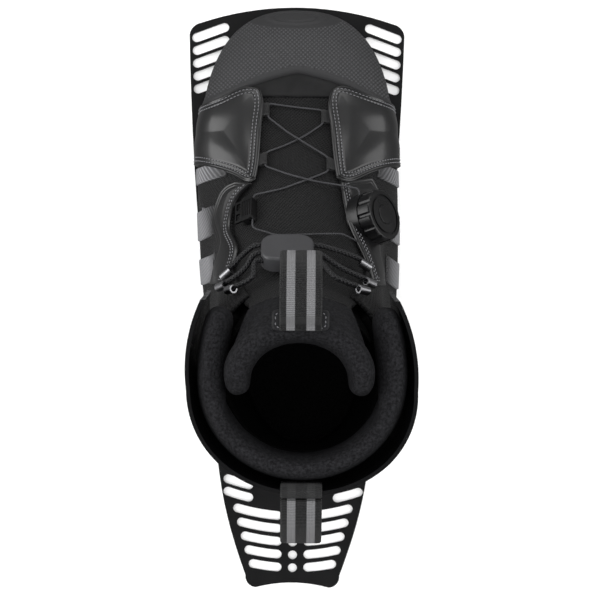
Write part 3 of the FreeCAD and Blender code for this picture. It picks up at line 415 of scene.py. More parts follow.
def band_sweep(name, path, width, thickness, middle_x, slot, body, closed=False, finish=None):
    """Flat webbing swept along a line in the side plane, with rounded selvedges."""
    path = np.asarray(path, float)
    ends = np.roll(path, -1, 0) - np.roll(path, 1, 0) if closed else np.gradient(path, axis=0)
    ends /= np.linalg.norm(ends, axis=1, keepdims=True)
    up = np.stack([-ends[:, 1], ends[:, 0]], 1)
    across = np.linspace(-1, 1, 27)
    half_t = thickness / 2 * np.clip(1 - np.abs(across) ** 12, 0.0, 1) ** 0.5
    loop = [(a * width / 2, t) for a, t in zip(across, half_t)]
    loop += [(a * width / 2, -t) for a, t in list(zip(across, half_t))[-2:0:-1]]
    count = len(loop)
    verts, uv = [], []
    along = lengths(path)
    for (y, z), (uy, uz), v in zip(path, up, along):
        for x, t in loop:
            verts.append((middle_x + x, y + uy * t, z + uz * t))
            uv.append((x, v))
    faces = []
    rows = len(path)
    for i in range(rows if closed else rows - 1):
        for k in range(count):
            a, b = i * count + k, i * count + (k + 1) % count
            c, d = ((i + 1) % rows) * count + k, ((i + 1) % rows) * count + (k + 1) % count
            faces.append((a, b, d, c))
    if not closed:
        faces.append(tuple(range(count))[::-1])
        faces.append(tuple(range((rows - 1) * count, rows * count)))
    return add_piece(name, verts, faces, slot, body, uv=uv, finish=finish)


# Materials

def linear(code):
    """Linear colour from an sRGB hex code."""
    values = [int(code[i:i + 2], 16) / 255 for i in (1, 3, 5)]
    return tuple(v / 12.92 if v <= 0.04045 else ((v + 0.055) / 1.055) ** 2.4 for v in values) + (1.0,)


def add(tree, kind, inputs=None, **settings):
    """Adds a shader node. Inputs are values or other nodes' sockets, by socket name or number."""
    node = tree.nodes.new("ShaderNode" + kind)
    for key, value in settings.items():
        setattr(node, key, value)
    for key, value in (inputs or {}).items():
        if isinstance(value, bpy.types.NodeSocket):
            tree.links.new(value, node.inputs[key])
        else:
            node.inputs[key].default_value = value
    return node


def material(name, colour, roughness, metallic=0.0, **shader_values):
    mat = bpy.data.materials.new(name)
    mat.use_nodes = True
    tree = mat.node_tree
    shader = tree.nodes["Principled BSDF"]
    shader.inputs["Base Color"].default_value = linear(colour)
    shader.inputs["Roughness"].default_value = roughness
    shader.inputs["Metallic"].default_value = metallic
    for key, value in shader_values.items():
        shader.inputs[key.replace("_", " ")].default_value = value
    return mat, tree, shader


def blend_colours(tree, share, low, high):
    return add(tree, "Mix", {0: share, 6: low, 7: high}, data_type="RGBA").outputs[2]


def grained(name, colour, roughness, metallic=0.0, size=0.4, depth=0.01, spread=0.08, **more):
    """Uneven fine surface of a real grain size, its roughness and tone varying with the grain."""
    mat, tree, shader = material(name, colour, roughness, metallic, **more)
    place = add(tree, "TexCoord").outputs["Object"]
    fine = add(tree, "TexNoise", {"Vector": place, "Scale": 1 / (size * MM), "Detail": 3.0})
    broad = add(tree, "TexNoise", {"Vector": place, "Scale": 1 / (14 * MM), "Detail": 4.0})
    rough = add(tree, "MapRange", {"Value": broad.outputs["Fac"], "From Min": 0.3, "From Max": 0.7,
                                   "To Min": roughness - spread, "To Max": roughness + spread})
    tree.links.new(rough.outputs["Result"], shader.inputs["Roughness"])
    dark = tuple(v * 0.8 for v in linear(colour)[:3]) + (1.0,)
    tree.links.new(blend_colours(tree, fine.outputs["Fac"], dark, linear(colour)), shader.inputs["Base Color"])
    bump = add(tree, "Bump", {"Height": fine.outputs["Fac"], "Distance": depth * MM, "Strength": 1.0})
    tree.links.new(bump.outputs["Normal"], shader.inputs["Normal"])
    return mat


def uv_mm(tree):
    return add(tree, "UVMap", uv_map="cut").outputs["UV"]


def math_node(tree, operation, a, b=0.0):
    return add(tree, "Math", {0: a, 1: b}, operation=operation).outputs[0]


def dots(tree, coords, pitch, size):
    """Staggered round dots: 1 at a dot's middle, 0 between them."""
    turned = add(tree, "Mapping", {"Vector": coords, "Rotation": (0, 0, math.radians(45)),
                                   "Scale": (1 / pitch, 1 / pitch, 0)}).outputs[0]
    cell = add(tree, "VectorMath", {0: turned}, operation="FRACTION").outputs[0]
    centred = add(tree, "VectorMath", {0: cell, 1: (0.5, 0.5, 0)}, operation="SUBTRACT").outputs[0]
    away = add(tree, "VectorMath", {0: centred}, operation="LENGTH").outputs["Value"]
    return add(tree, "MapRange", {"Value": away, "From Min": size, "From Max": size * 0.55,
                                  "To Min": 0.0, "To Max": 1.0}).outputs["Result"]


def mesh_cloth(name, yarn, eyelet_shade, pitch, depth, roughness):
    """Spacer mesh: round eyelets between knitted ribs, with painted shade in the eyelets' bottoms."""
    mat, tree, shader = material(name, yarn, roughness, Specular_IOR_Level=0.3)
    shader.inputs["Sheen Weight"].default_value = 0.03
    place = uv_mm(tree)
    eye = dots(tree, place, pitch, 0.42)
    fuzz = add(tree, "TexNoise", {"Vector": place, "Scale": 4.0, "Detail": 4.0}).outputs["Fac"]
    # The eyelets take the second, near-black colour: painted shade in their hollows.
    tree.links.new(blend_colours(tree, eye, linear(yarn), linear(eyelet_shade)), shader.inputs["Base Color"])
    height = math_node(tree, "SUBTRACT", math_node(tree, "MULTIPLY", fuzz, 0.35), eye)
    bump = add(tree, "Bump", {"Height": height, "Distance": depth * MM, "Strength": 1.0})
    tree.links.new(bump.outputs["Normal"], shader.inputs["Normal"])
    return mat


def woven(name, yarn, stripe, pitch=1.1, depth=0.35, roughness=0.62):
    """Webbing: ribs across it, and two paler woven stripes along it, with painted shade darkening the valleys between
    the ribs.
    """
    mat, tree, shader = material(name, yarn, roughness)
    shader.inputs["Sheen Weight"].default_value = 0.04
    axes = add(tree, "SeparateXYZ", {0: uv_mm(tree)})
    across, along = axes.outputs[0], axes.outputs[1]
    off = math_node(tree, "ABSOLUTE", math_node(tree, "SUBTRACT", math_node(tree, "ABSOLUTE", across), 5.9))
    in_stripe = add(tree, "MapRange", {"Value": off, "From Min": 2.7, "From Max": 2.3}).outputs["Result"]
    rib = math_node(tree, "SINE", math_node(tree, "MULTIPLY", along, 2 * math.pi / pitch))
    warp = math_node(tree, "SINE", math_node(tree, "MULTIPLY", across, 2 * math.pi / 0.9))
    height = math_node(tree, "ADD", math_node(tree, "MULTIPLY", rib, 0.5), math_node(tree, "MULTIPLY", warp, 0.25))
    # Painted shade: the colour runs to near black in the weave's valleys, following the bump's height.
    shade = add(tree, "MapRange", {"Value": height, "From Min": -0.7, "From Max": 0.7, "To Min": 0.45, "To Max": 1.0})
    plain = blend_colours(tree, in_stripe, linear(yarn), linear(stripe))
    dark = blend_colours(tree, in_stripe, (0.002, 0.002, 0.002, 1), (0.03, 0.03, 0.03, 1))
    tree.links.new(blend_colours(tree, shade.outputs["Result"], dark, plain), shader.inputs["Base Color"])
    bump = add(tree, "Bump", {"Height": height, "Distance": depth * MM, "Strength": 1.0})
    tree.links.new(bump.outputs["Normal"], shader.inputs["Normal"])
    return mat


def napped(name, colour, tip, size=1.3, depth=0.1):
    """Brushed lining fabric: short nap in soft clumps that catches light at grazing angles."""
    mat, tree, shader = material(name, colour, 0.95, Specular_IOR_Level=0.08)
    place = add(tree, "TexCoord").outputs["Object"]
    clumps = add(tree, "TexNoise", {"Vector": place, "Scale": 1 / (size * MM), "Detail": 5.0, "Roughness": 0.65})
    hairs = add(tree, "TexNoise", {"Vector": place, "Scale": 1 / (0.25 * MM), "Detail": 2.0})
    mixed = math_node(tree, "ADD", clumps.outputs["Fac"], math_node(tree, "MULTIPLY", hairs.outputs["Fac"], 0.5))
    share = add(tree, "MapRange", {"Value": mixed, "From Min": 0.6, "From Max": 0.95}).outputs["Result"]
    tree.links.new(blend_colours(tree, share, linear(colour), linear(tip)), shader.inputs["Base Color"])
    bump = add(tree, "Bump", {"Height": mixed, "Distance": depth * MM, "Strength": 0.9})
    tree.links.new(bump.outputs["Normal"], shader.inputs["Normal"])
    return mat


def toe_rubber():
    """Matte rubber with a field of small raised dots that stops short of the smooth border; the dots carry a painted
    highlight on their tops.
    """
    mat, tree, shader = material("toe_rubber", "#2c2c2e", 0.6, Specular_IOR_Level=0.4)
    edge = add(tree, "Attribute", attribute_name="edge_mm").outputs["Fac"]
    field = add(tree, "MapRange", {"Value": edge, "From Min": 4.6, "From Max": 5.4}).outputs["Result"]
    position = add(tree, "TexCoord").outputs["Object"]
    scaled = add(tree, "Mapping", {"Vector": position, "Scale": (1 / MM, 1 / MM, 0)}).outputs[0]
    dot = math_node(tree, "MULTIPLY", dots(tree, scaled, 2.1, 0.42), field)
    # Painted highlight: the dots are coloured lighter than the ground between them.
    base = blend_colours(tree, dot, linear("#262627"), linear("#3d3d3f"))
    tree.links.new(base, shader.inputs["Base Color"])
    grit = add(tree, "TexNoise", {"Vector": position, "Scale": 1 / (0.5 * MM), "Detail": 3.0}).outputs["Fac"]
    height = math_node(tree, "ADD", dot, math_node(tree, "MULTIPLY", grit, 0.12))
    bump = add(tree, "Bump", {"Height": height, "Distance": 0.3 * MM, "Strength": 1.0})
    tree.links.new(bump.outputs["Normal"], shader.inputs["Normal"])
    return mat


def ribbed_band():
    """Grey moulded film with fine slanting ribs; a painted reflection makes it paler towards the sole, and painted
    light and shade fall on the ribs' crests and valleys.
    """
    mat, tree, shader = material("ribbed_film", "#6a6a6c", 0.34)
    axes = add(tree, "SeparateXYZ", {0: uv_mm(tree)})
    place = add(tree, "SeparateXYZ", {0: add(tree, "TexCoord").outputs["Object"]})
    slant = math_node(tree, "DIVIDE", math_node(tree, "ADD", place.outputs[1], place.outputs[2]), MM)
    rib = math_node(tree, "SINE", math_node(tree, "MULTIPLY", slant, 2 * math.pi / 3.0))
    # Painted reflection: near black at the inner edge, paling over 26 mm towards the sole.
    reflection_fade = add(tree, "MapRange", {"Value": axes.outputs[0], "From Min": 0.0, "From Max": 26.0}).outputs["Result"]
    tone = blend_colours(tree, reflection_fade, linear("#1c1c1d"), linear("#8e8e91"))
    # Painted shade between the ribs and painted light on their crests, following the bump.
    lit = add(tree, "MapRange", {"Value": rib, "From Min": -1.0, "From Max": 1.0, "To Min": 0.35}).outputs["Result"]
    tree.links.new(blend_colours(tree, lit, linear("#141415"), tone), shader.inputs["Base Color"])
    bump = add(tree, "Bump", {"Height": rib, "Distance": 0.3 * MM, "Strength": 0.8})
    tree.links.new(bump.outputs["Normal"], shader.inputs["Normal"])
    return mat


def glossy_film():
    """Coated synthetic leather: black under a clear coat, with a broad soft unevenness."""
    mat, tree, shader = material("coated_leather", "#0a0a0b", 0.36, Coat_Weight=0.6, Coat_Roughness=0.18)
    place = add(tree, "TexCoord").outputs["Object"]
    broad = add(tree, "TexNoise", {"Vector": place, "Scale": 1 / (11 * MM), "Detail": 2.0}).outputs["Fac"]
    fine = add(tree, "TexNoise", {"Vector": place, "Scale": 1 / (0.7 * MM), "Detail": 3.0}).outputs["Fac"]
    height = math_node(tree, "ADD", broad, math_node(tree, "MULTIPLY", fine, 0.04))
    bump = add(tree, "Bump", {"Height": height, "Distance": 0.5 * MM, "Strength": 0.5})
    tree.links.new(bump.outputs["Normal"], shader.inputs["Normal"])
    rough = add(tree, "MapRange", {"Value": fine, "To Min": 0.34, "To Max": 0.5}).outputs["Result"]
    tree.links.new(rough, shader.inputs["Roughness"])
    return mat


def braided(name, yarn, crest_highlight, pitch=2.4, depth=0.25):
    """Braided sheath: two families of crossing strands round the cord, with a painted highlight on the strands'
    crests.
    """
    mat, tree, shader = material(name, yarn, 0.55)
    axes = add(tree, "SeparateXYZ", {0: uv_mm(tree)})
    around = math_node(tree, "MULTIPLY", axes.outputs[0], 2 * math.pi * 4)
    along = math_node(tree, "MULTIPLY", axes.outputs[1], 2 * math.pi / pitch)
    one = math_node(tree, "SINE", math_node(tree, "ADD", around, along))
    other = math_node(tree, "SINE", math_node(tree, "SUBTRACT", around, along))
    height = math_node(tree, "MAXIMUM", one, other)
    # Painted highlight: the colour pales towards the second colour on the strands' crests.
    share = add(tree, "MapRange", {"Value": height, "From Min": 0.2, "From Max": 1.0}).outputs["Result"]
    tree.links.new(blend_colours(tree, share, linear(yarn), linear(crest_highlight)), shader.inputs["Base Color"])
    bump = add(tree, "Bump", {"Height": height, "Distance": depth * MM, "Strength": 0.9})
    tree.links.new(bump.outputs["Normal"], shader.inputs["Normal"])
    return mat


MATERIALS = {
    "black_plate": grained("anodised_aluminium", "#121213", 0.42, 0.3, size=0.5, depth=0.015),
    "black_rubber": grained("moulded_rubber", "#101011", 0.6, size=0.6, depth=0.05),
    "steel": grained("stainless_steel", "#b9babc", 0.28, 1.0, size=0.3, depth=0.005),
    "board": grained("fibre_board", "#1b1a19", 0.8, size=0.8, depth=0.05),
    "black_foam": napped("footbed_cover", "#0c0c0c", "#19191a"),
    "cap_rubber": toe_rubber(),
    "neoprene": grained("neoprene", "#080809", 0.7, size=0.4, depth=0.04),
    # The second colour is painted shade in the mesh's eyelets.
    "side_mesh": mesh_cloth("side_mesh", "#0e0e0f", "#020202", 1.9, 0.5, 0.6),
    "gloss_overlay": glossy_film(),
    "grey_band": ribbed_band(),
    "heel_shell": grained("counter_shell", "#0e0e0f", 0.34, size=0.5, depth=0.01),
    "lining": napped("brushed_lining", "#030303", "#0a0a0a"),
    # The second colour is painted shade in the mesh's eyelets.
    "tongue_mesh": mesh_cloth("tongue_mesh", "#0c0c0d", "#020202", 1.7, 0.5, 0.65),
    "cuff_plastic": grained("cuff_nylon", "#0a0a0b", 0.2, size=0.7, depth=0.008, spread=0.05),
    "pad_fabric": napped("brushed_pad", "#0e0e0f", "#262628", size=1.6),
    "dial_plastic": grained("dial_nylon", "#0a0a0b", 0.32, size=0.35, depth=0.012),
    # The second colour is a painted highlight on the braid's strand crests.
    "lace_wire": braided("coated_lace", "#101011", "#48484b", pitch=1.2, depth=0.1),
    "webbing": woven("loop_webbing", "#0c0c0d", "#747476"),
    # The second colour is a painted highlight on the braid's strand crests.
    "cord": braided("braided_cord", "#0a0a0b", "#1e1e20"),
    "sleeve_metal": grained("satin_aluminium", "#a9a9ac", 0.35, 1.0, size=0.4, depth=0.01),
    "lock_plastic": grained("grey_nylon", "#38383a", 0.42, size=0.4, depth=0.012),
    "patch_fabric": grained("patch_microfibre", "#141416", 0.72, size=0.5, depth=0.06),
    "thread": grained("waxed_thread", "#6b6b6e", 0.45, size=0.2, depth=0.05),
    "dark_thread": grained("dark_thread", "#1c1c1e", 0.55, size=0.2, depth=0.05),
    "plain_webbing": woven("plain_webbing", "#161617", "#161617"),
}

for part in frame["record"]["subparts"]:
    slots = NODES[part["node"]].data.materials
    slots.clear()
    slots.append(MATERIALS[part["material_slot"]])

for node, width in (("base_plate", 0.5), ("cuff_shell", 0.8), ("cord_lock_body", 0.4), ("left_lace_guide", 0.4),
                    ("dial_housing", 0.4), ("heel_counter", 0.5), ("outsole", 0.6)):
    bevel = NODES[node].modifiers.new("edges", "BEVEL")
    bevel.width = width * MM
    bevel.segments = 2
    bevel.limit_method = "ANGLE"
    bevel.angle_limit = math.radians(50)


# Outlines on the form

TOE_LINE = [(-52.0, 132.0), (-28.6, 142.0), (1.2, 151.0), (30.8, 142.5), (52.0, 133.0)]


def across_boot(points, left_y, right_y):
    """Plan line across the boot that runs down both sides to the sole."""
    middle = len(points) // 2
    left = line_to_sole(points[middle::-1] + [(-68.0, left_y)], -1)[::-1]
    right = line_to_sole(points[middle:] + [(68.0, right_y)], 1)
    return np.concatenate([left, right[1:]])


def toe_cap():
    rear = across_boot(TOE_LINE, 127.5, 127.5)
    sole = level_line(rear[0, 0], rear[-1, 0])
    left, right = np.repeat(rear[:1], 2, 0), np.repeat(rear[-1:], 2, 0)
    patch = Patch(rear, sole, left + [[0, 0], [0, 1e-4]], right + [[0, 0], [0, 1e-4]], 220, 110)
    rear_edge = patch.edge_distance("f")
    sole_edge = patch.edge_distance("b")
    top = rolled(rear_edge, -1.4, 0.9, 2.6) - 0.9 * np.clip((rear_edge - 3) / 5, 0, 1)
    oval = np.hypot((patch.points[..., 0] + 0.9) / 19.0, (patch.points[..., 1] - 191.0) / 5.2)
    plateau = 1.1 * np.clip((1.12 - oval) / 0.12, 0, 1)
    groove = dent(oval, 0.78, 0.07, 0.8)
    top = top + np.where(patch.points[..., 2] > 20, plateau + groove * (oval < 1.0), 0)
    edge = np.minimum(np.minimum(rear_edge, sole_edge * 0.55), np.clip((oval - 1.25) * 12, 0, 99))
    cap = sheet_piece("toe_cap_skin", patch, top, WALL_IN, "cap_rubber", edge)
    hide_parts("toe_cap", "toe_bumper")


def vamp():
    rear = across_boot([(-44.0, 132.0), (-20.0, 134.4), (1.2, 134.6), (20.0, 134.4), (44.0, 132.0)], 124.0, 124.0)
    front = across_boot([(x, y + 4.0) for x, y in TOE_LINE], 131.5, 131.5)
    left = level_line(rear[0, 0], front[0, 0])
    right = level_line(rear[-1, 0], front[-1, 0])
    patch = Patch(rear, front, left, right, 160, 24)
    skin = sheet_piece("vamp_skin", patch, rolled(patch.edge_distance("f"), -2.0, -1.5, 1.5), WALL_IN, "neoprene")
    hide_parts("vamp")


QUARTER_TOP = {
    1: [(23.5, 134.1), (27.0, 100.0), (29.5, 80.0), (34.0, 60.0), (38.5, 44.0), (45.0, 28.0)],
    -1: [(-24.1, 134.1), (-26.0, 100.0), (-28.0, 80.0), (-39.0, 64.0), (-41.5, 48.0), (-40.0, 30.0)],
}


def quarter(side, name, node):
    """Mesh side from the vamp to the heel seam."""
    instep = plan_line(QUARTER_TOP[side])
    flank = on_wall(np.array([16.0, 8.0, 2.0]), np.array([135.0, 153.0, UPPER_TOP]), side)
    heel = -90.0 if side > 0 else 270.0
    rim = level_line(flank[-1, 0], heel, UPPER_TOP)
    top = np.concatenate([instep, flank, rim[1:]])
    x, y = QUARTER_TOP[side][0]
    front = line_to_sole([(x, y), (side * 45.0, y - 1.0), (side * 68.0, y - 6.0)], side)
    sole = level_line(front[-1, 0], heel)
    seam = np.stack([np.full(100, heel), np.linspace(UPPER_TOP, SOLE_TOP, 100)], 1)
    patch = Patch(front, seam, top, sole, 120, 240)
    skin = sheet_piece(name, patch, rolled(patch.edge_distance("l"), -0.8, -0.05, 1.2), WALL_IN, "side_mesh")
    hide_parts(node)


OVERLAYS = {
    "left_overlay": (-1,
                     [(-24.2, 138.8), (-22.0, 131.5), (-22.6, 117.0), (-24.9, 82.8), (-26.0, 77.0)],
                     [(-24.2, 138.8), (-31.0, 140.7), (-50.0, 133.5), (-66.0, 129.5)],
                     [(-26.0, 77.0), (-30.0, 75.0), (-36.0, 78.0), (-44.0, 82.0), (-64.0, 88.0)]),
    "right_overlay": (1,
                      [(23.6, 138.8), (21.3, 129.0), (22.4, 117.7), (25.2, 90.0), (26.8, 78.5)],
                      [(23.6, 138.8), (28.1, 141.6), (36.2, 140.5), (52.0, 135.0), (66.0, 131.5)],
                      [(26.8, 78.5), (33.0, 76.0), (42.0, 79.0), (52.0, 84.0), (66.0, 88.0)]),
}


def overlay(node):
    """Glossy panel from the lacing edge to the sole, with a welt and two rows of stitches."""
    side, inner, front, rear = OVERLAYS[node]
    first, last = line_to_sole(front, side), line_to_sole(rear, side)
    sole = level_line(first[-1, 0], last[-1, 0])
    patch = Patch(first, last, plan_line(inner), sole, 150, 110)
    edge = patch.edge_distance("lfb")
    top = rolled(edge, OVER_IN + 0.1, OVER_OUT + 0.3, 1.5) + 0.55 * np.exp(-((edge - 1.5) / 0.8) ** 2)
    top = top + dent(edge, 3.1, 0.45, 0.3) + dent(edge, 5.6, 0.45, 0.3)
    top = top + 0.9 * np.exp(-((edge - 14.0) / 9.0) ** 2) - 0.25
    panel = sheet_piece(node + "_skin", patch, top, OVER_IN, "gloss_overlay", edge)
    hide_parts(node)
    cut_round_dial(panel)
    for k, at in enumerate((3.1, 5.6)):
        stitches(f"{node}_stitches_{k}", patch.inset(at, OVER_OUT + 0.35, (0.1, 0.1)), "gloss_overlay")


EYESTAYS = {
    "left_eyestay": ([(-28.0, 74.0), (-36.5, 65.6), (-41.0, 52.5), (-41.2, 43.2), (-36.8, 34.0), (-38.0, 22.0),
                      (-44.0, 8.0)],
                     [(-38.0, 76.0), (-45.0, 73.0), (-52.0, 60.0), (-53.0, 45.0), (-49.5, 34.0), (-51.0, 22.0),
                      (-55.0, 8.0)]),
    "right_eyestay": ([(29.0, 75.0), (30.5, 66.0), (32.5, 55.0), (36.0, 44.0), (44.4, 26.0), (50.0, 8.0)],
                      [(50.0, 80.0), (58.0, 62.0), (58.0, 45.0), (56.0, 28.0), (58.5, 8.0)]),
}


def eyestay(node):
    """Padded strip along the lacing, stitched twice along its inner edge."""
    inner, outer = EYESTAYS[node]
    patch = Patch(plan_line([inner[0], outer[0]]), plan_line([inner[-1], outer[-1]]), plan_line(inner),
                  plan_line(outer), 44, 130)
    edge = patch.edge_distance("lrfb")
    top = rolled(edge, OVER_IN + 0.1, OVER_OUT + 0.2, 1.4) + dent(edge, 2.6, 0.4, 0.25) + dent(edge, 4.6, 0.4, 0.25)
    top = top + 0.7 * np.clip((edge - 4.5) / 3.5, 0, 1)
    strip = sheet_piece(node + "_skin", patch, top, OVER_IN, "gloss_overlay", edge)
    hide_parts(node)
    cut_round_dial(strip)
    for k, at in enumerate((2.6, 4.6)):
        stitches(f"{node}_stitches_{k}", patch.inset(at, OVER_OUT + 0.25, (0.75, 0.75)), "gloss_overlay")


BANDS = {"left_side_bands": (-1, [(86.0, 75.0, 45.0), (56.0, 36.0, 52.5), (24.0, 6.0, 51.0)]),
         "right_side_bands": (1, [(86.0, 75.0, 54.0), (56.0, 36.0, 60.0), (24.0, 6.0, 60.0)])}


def side_bands(node):
    """Three ribbed film strips over the mesh side."""
    side, rows = BANDS[node]
    for k, (front, rear, x) in enumerate(rows):
        first = line_to_sole([(side * x, front + 5.0), (side * 70.0, front - 1.0)], side)
        last = line_to_sole([(side * x, rear + 5.0), (side * 70.0, rear - 1.0)], side)
        sole = level_line(first[-1, 0], last[-1, 0])
        patch = Patch(first, last, plan_line([(side * x, front + 5.0), (side * x, rear + 5.0)]), sole, 80, 40)
        top = rolled(patch.edge_distance("lfb"), OVER_IN, BAND_OUT, 0.7)
        strip = sheet_piece(f"{node}_{k}", patch, top, OVER_IN - 0.15, "grey_band")
        cut_round_dial(strip)
        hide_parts(node)


# Dial's place, as the panels are cut round it
DIAL_AXIS = np.array([0.7694, 0.25, 0.5878])
DIAL_WELL_R = 17.9


def dial_point():
    chart, _ = on_plan(48.0, 51.0)
    return surface(chart[0, 0], chart[0, 1]) + DIAL_AXIS * OVER_OUT


def apply_modifiers(obj):
    depsgraph = bpy.context.evaluated_depsgraph_get()
    mesh = bpy.data.meshes.new_from_object(obj.evaluated_get(depsgraph))
    obj.modifiers.clear()
    old = obj.data
    obj.data = mesh
    bpy.data.meshes.remove(old)


def cut_round_dial(obj):
    """Cuts a panel away where the dial's base sits."""
    centre = dial_point()
    corners = np.array([v[:] for v in obj.bound_box]) / MM
    gap = np.maximum(np.maximum(corners.min(0) - centre, centre - corners.max(0)), 0)
    if np.linalg.norm(gap) > 30:
        return
    side = np.cross(DIAL_AXIS, [0, 0, 1])
    side /= np.linalg.norm(side)
    up = np.cross(DIAL_AXIS, side)
    turn = np.linspace(0, 2 * math.pi, 64, endpoint=False)[:, None]
    ring = DIAL_WELL_R * (np.cos(turn) * side + np.sin(turn) * up)
    verts = np.concatenate([centre + ring - DIAL_AXIS * 22, centre + ring + DIAL_AXIS * 22])
    faces = [(k, (k + 1) % 64, (k + 1) % 64 + 64, k + 64) for k in range(64)]
    faces += [tuple(range(64))[::-1], tuple(range(64, 128))]
    mesh = bpy.data.meshes.new("well")
    mesh.from_pydata((verts * MM).tolist(), [], faces)
    cutter = bpy.data.objects.new("well", mesh)
    bpy.context.scene.collection.objects.link(cutter)
    mod = obj.modifiers.new("cut", "BOOLEAN")
    mod.operation = "DIFFERENCE"
    mod.object = cutter
    mod.solver = "EXACT"
    apply_modifiers(obj)
    bpy.data.objects.remove(cutter)


def tongue():
    left = plan_line([(-33.0, 147.0), (-33.0, 100.0), (-37.0, 80.0), (-43.0, 62.0), (-45.0, 44.0), (-43.0, 28.0),
                      (-41.0, 12.0)])
    right = plan_line([(33.0, 147.0), (34.0, 100.0), (37.0, 78.0), (41.0, 60.0), (44.0, 42.0), (47.0, 26.0),
                       (48.0, 12.0)])

    def neck(side, half, z):
        c = (half / form_half(z)) ** (form_nf(z) / 2)
        return np.stack([turn_from(np.sqrt(1 - c ** 2), side * c), z], 1)

    z = np.array([168.0, 180.0, 197.0])
    left = np.concatenate([left, neck(-1, np.array([38.0, 34.0, 33.0]), z)])
    right = np.concatenate([right, neck(1, np.array([38.0, 34.0, 33.0]), z)])
    first = plan_line([(-33.0, 147.0), (0.0, 147.0), (33.0, 147.0)])
    last = level_line(left[-1, 0], right[-1, 0], 197.0)
    patch = Patch(first, last, left, right, 110, 200)
    edge = patch.edge_distance("lr")
    top = rolled(edge, TONGUE_OUT - 1.5, TONGUE_OUT, 4.0)
    sheet = sheet_piece("tongue_mesh_panel", patch, top, TONGUE_IN, "tongue_mesh", edge)
    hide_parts("tongue")


def liner():
    """Padded sock round the foot and heel, open along the tongue."""
    z = np.linspace(13.5, UPPER_TOP, 90)
    open_right = np.interp(z, [55, 80, 110, 172], [90.0, 70.0, 42.0, 38.0])
    open_left = np.interp(z, [55, 80, 110, 172], [-270.0, -250.0, -222.0, -218.0])
    share = np.linspace(0, 1, 180)[:, None]
    turn = open_right[None] * (1 - share) + open_left[None] * share
    turn = np.where(turn < -90, turn + 360, turn)
    points = surface(turn, np.broadcast_to(z, turn.shape))
    normals = normals_of(points)
    nu, nv = points.shape[:2]
    verts = np.concatenate([(points + normals * LINER_OUT).reshape(-1, 3), (points + normals * LINER_IN).reshape(-1, 3)])
    n = nu * nv
    faces = grid_faces(nu, nv, 0, True) + grid_faces(nu, nv, n, False)
    ring = [i * nv for i in range(nu)] + [(nu - 1) * nv + j for j in range(1, nv)]
    ring += [i * nv + nv - 1 for i in range(nu - 2, -1, -1)] + list(range(nv - 2, 0, -1))
    faces += [(p, q, q + n, p + n) for p, q in zip(ring, ring[1:] + ring[:1])]
    sock = add_piece("liner_sock", verts, faces, "lining")
    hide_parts("liner")


# Pads

COLLAR_ARM = [(-1.4, 17.0, 17.0), (-4.8, 32.0, 18.0), (-9.2, 45.0, 18.5)]


def pad_piece(name, node, stations, low):
    """Crowned pad along a bent line, swollen by a pressed cloth simulation."""
    line = through(stations, 90)
    way = np.gradient(line[:, :2], axis=0)
    way /= np.linalg.norm(way, axis=1, keepdims=True)
    out = np.stack([way[:, 1], -way[:, 0]], 1)
    turn = np.linspace(-math.pi, math.pi, 36, endpoint=False)
    rings = []
    count = len(line)
    for k, ((x, y, width, top), (ox, oy)) in enumerate(zip(line, out)):
        end = min(k, count - 1 - k) / 3.5
        taper = math.sqrt(max(0.0, 1 - (1 - min(end, 1.0)) ** 2)) * 0.94 + 0.06
        middle, half_z = (low + top) / 2, (top - low) / 2
        for a in turn:
            c, s = math.cos(a), math.sin(a)
            side = math.copysign(abs(c) ** 0.8, c) * (width / 2 - 0.5) * taper
            up = math.copysign(abs(s) ** (0.9 if s > 0 else 0.5), s) * half_z * (0.4 + 0.6 * taper)
            rings.append((x + ox * side, y + oy * side, middle + up))
    sides = len(turn)
    faces = [(i * sides + k, i * sides + (k + 1) % sides, (i + 1) * sides + (k + 1) % sides, (i + 1) * sides + k)
             for i in range(count - 1) for k in range(sides)]
    faces += [tuple(range(sides))[::-1], tuple(range((count - 1) * sides, count * sides))]
    obj = add_piece(name, rings, faces, "pad_fabric")
    swell(obj)
    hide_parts(node)
    return obj


def swell(obj, pressure=4.0, cap=2.2):
    """Remeshes the pad, lets it swell as cloth, and keeps each point within a cap of where it was."""
    remesh = obj.modifiers.new("remesh", "REMESH")
    remesh.mode = "VOXEL"
    remesh.voxel_size = 4 * MM
    remesh.use_smooth_shade = True
    apply_modifiers(obj)
    start = np.array([v.co[:] for v in obj.data.vertices])
    cloth = obj.modifiers.new("cloth", "CLOTH")
    cloth.settings.use_pressure = True
    cloth.settings.uniform_pressure_force = pressure
    cloth.settings.effector_weights.gravity = 0
    cloth.settings.tension_stiffness = 25
    cloth.settings.compression_stiffness = 25
    cloth.settings.bending_stiffness = 2
    cloth.point_cache.frame_end = 20
    scene = bpy.context.scene
    for f in range(1, 21):
        scene.frame_set(f)
    apply_modifiers(obj)
    scene.frame_set(1)
    moved = np.array([v.co[:] for v in obj.data.vertices])
    step = moved - start
    size = np.linalg.norm(step, axis=1, keepdims=True)
    moved = start + step * np.minimum(1, cap * MM / np.maximum(size, 1e-9))
    obj.data.vertices.foreach_set("co", moved.ravel())
    sub = obj.modifiers.new("smooth", "SUBSURF")
    sub.levels = sub.render_levels = 1
    apply_modifiers(obj)


def collar_stations():
    half, middle, rear = 55.3, -50.0, -103.2
    arm = [(half + dx, middle + ahead, width, COLLAR_TOP - 1.0) for dx, ahead, width in COLLAR_ARM]
    stations = [(LEG_X - x, y, w, t) for x, y, w, t in arm[::-1]]
    for step in range(9):
        a = math.pi * step / 8
        stations.append((LEG_X - half * math.cos(a), middle - math.sin(a) * (middle - rear), 16.6, COLLAR_TOP))
    return stations + [(LEG_X + x, y, w, t) for x, y, w, t in arm]


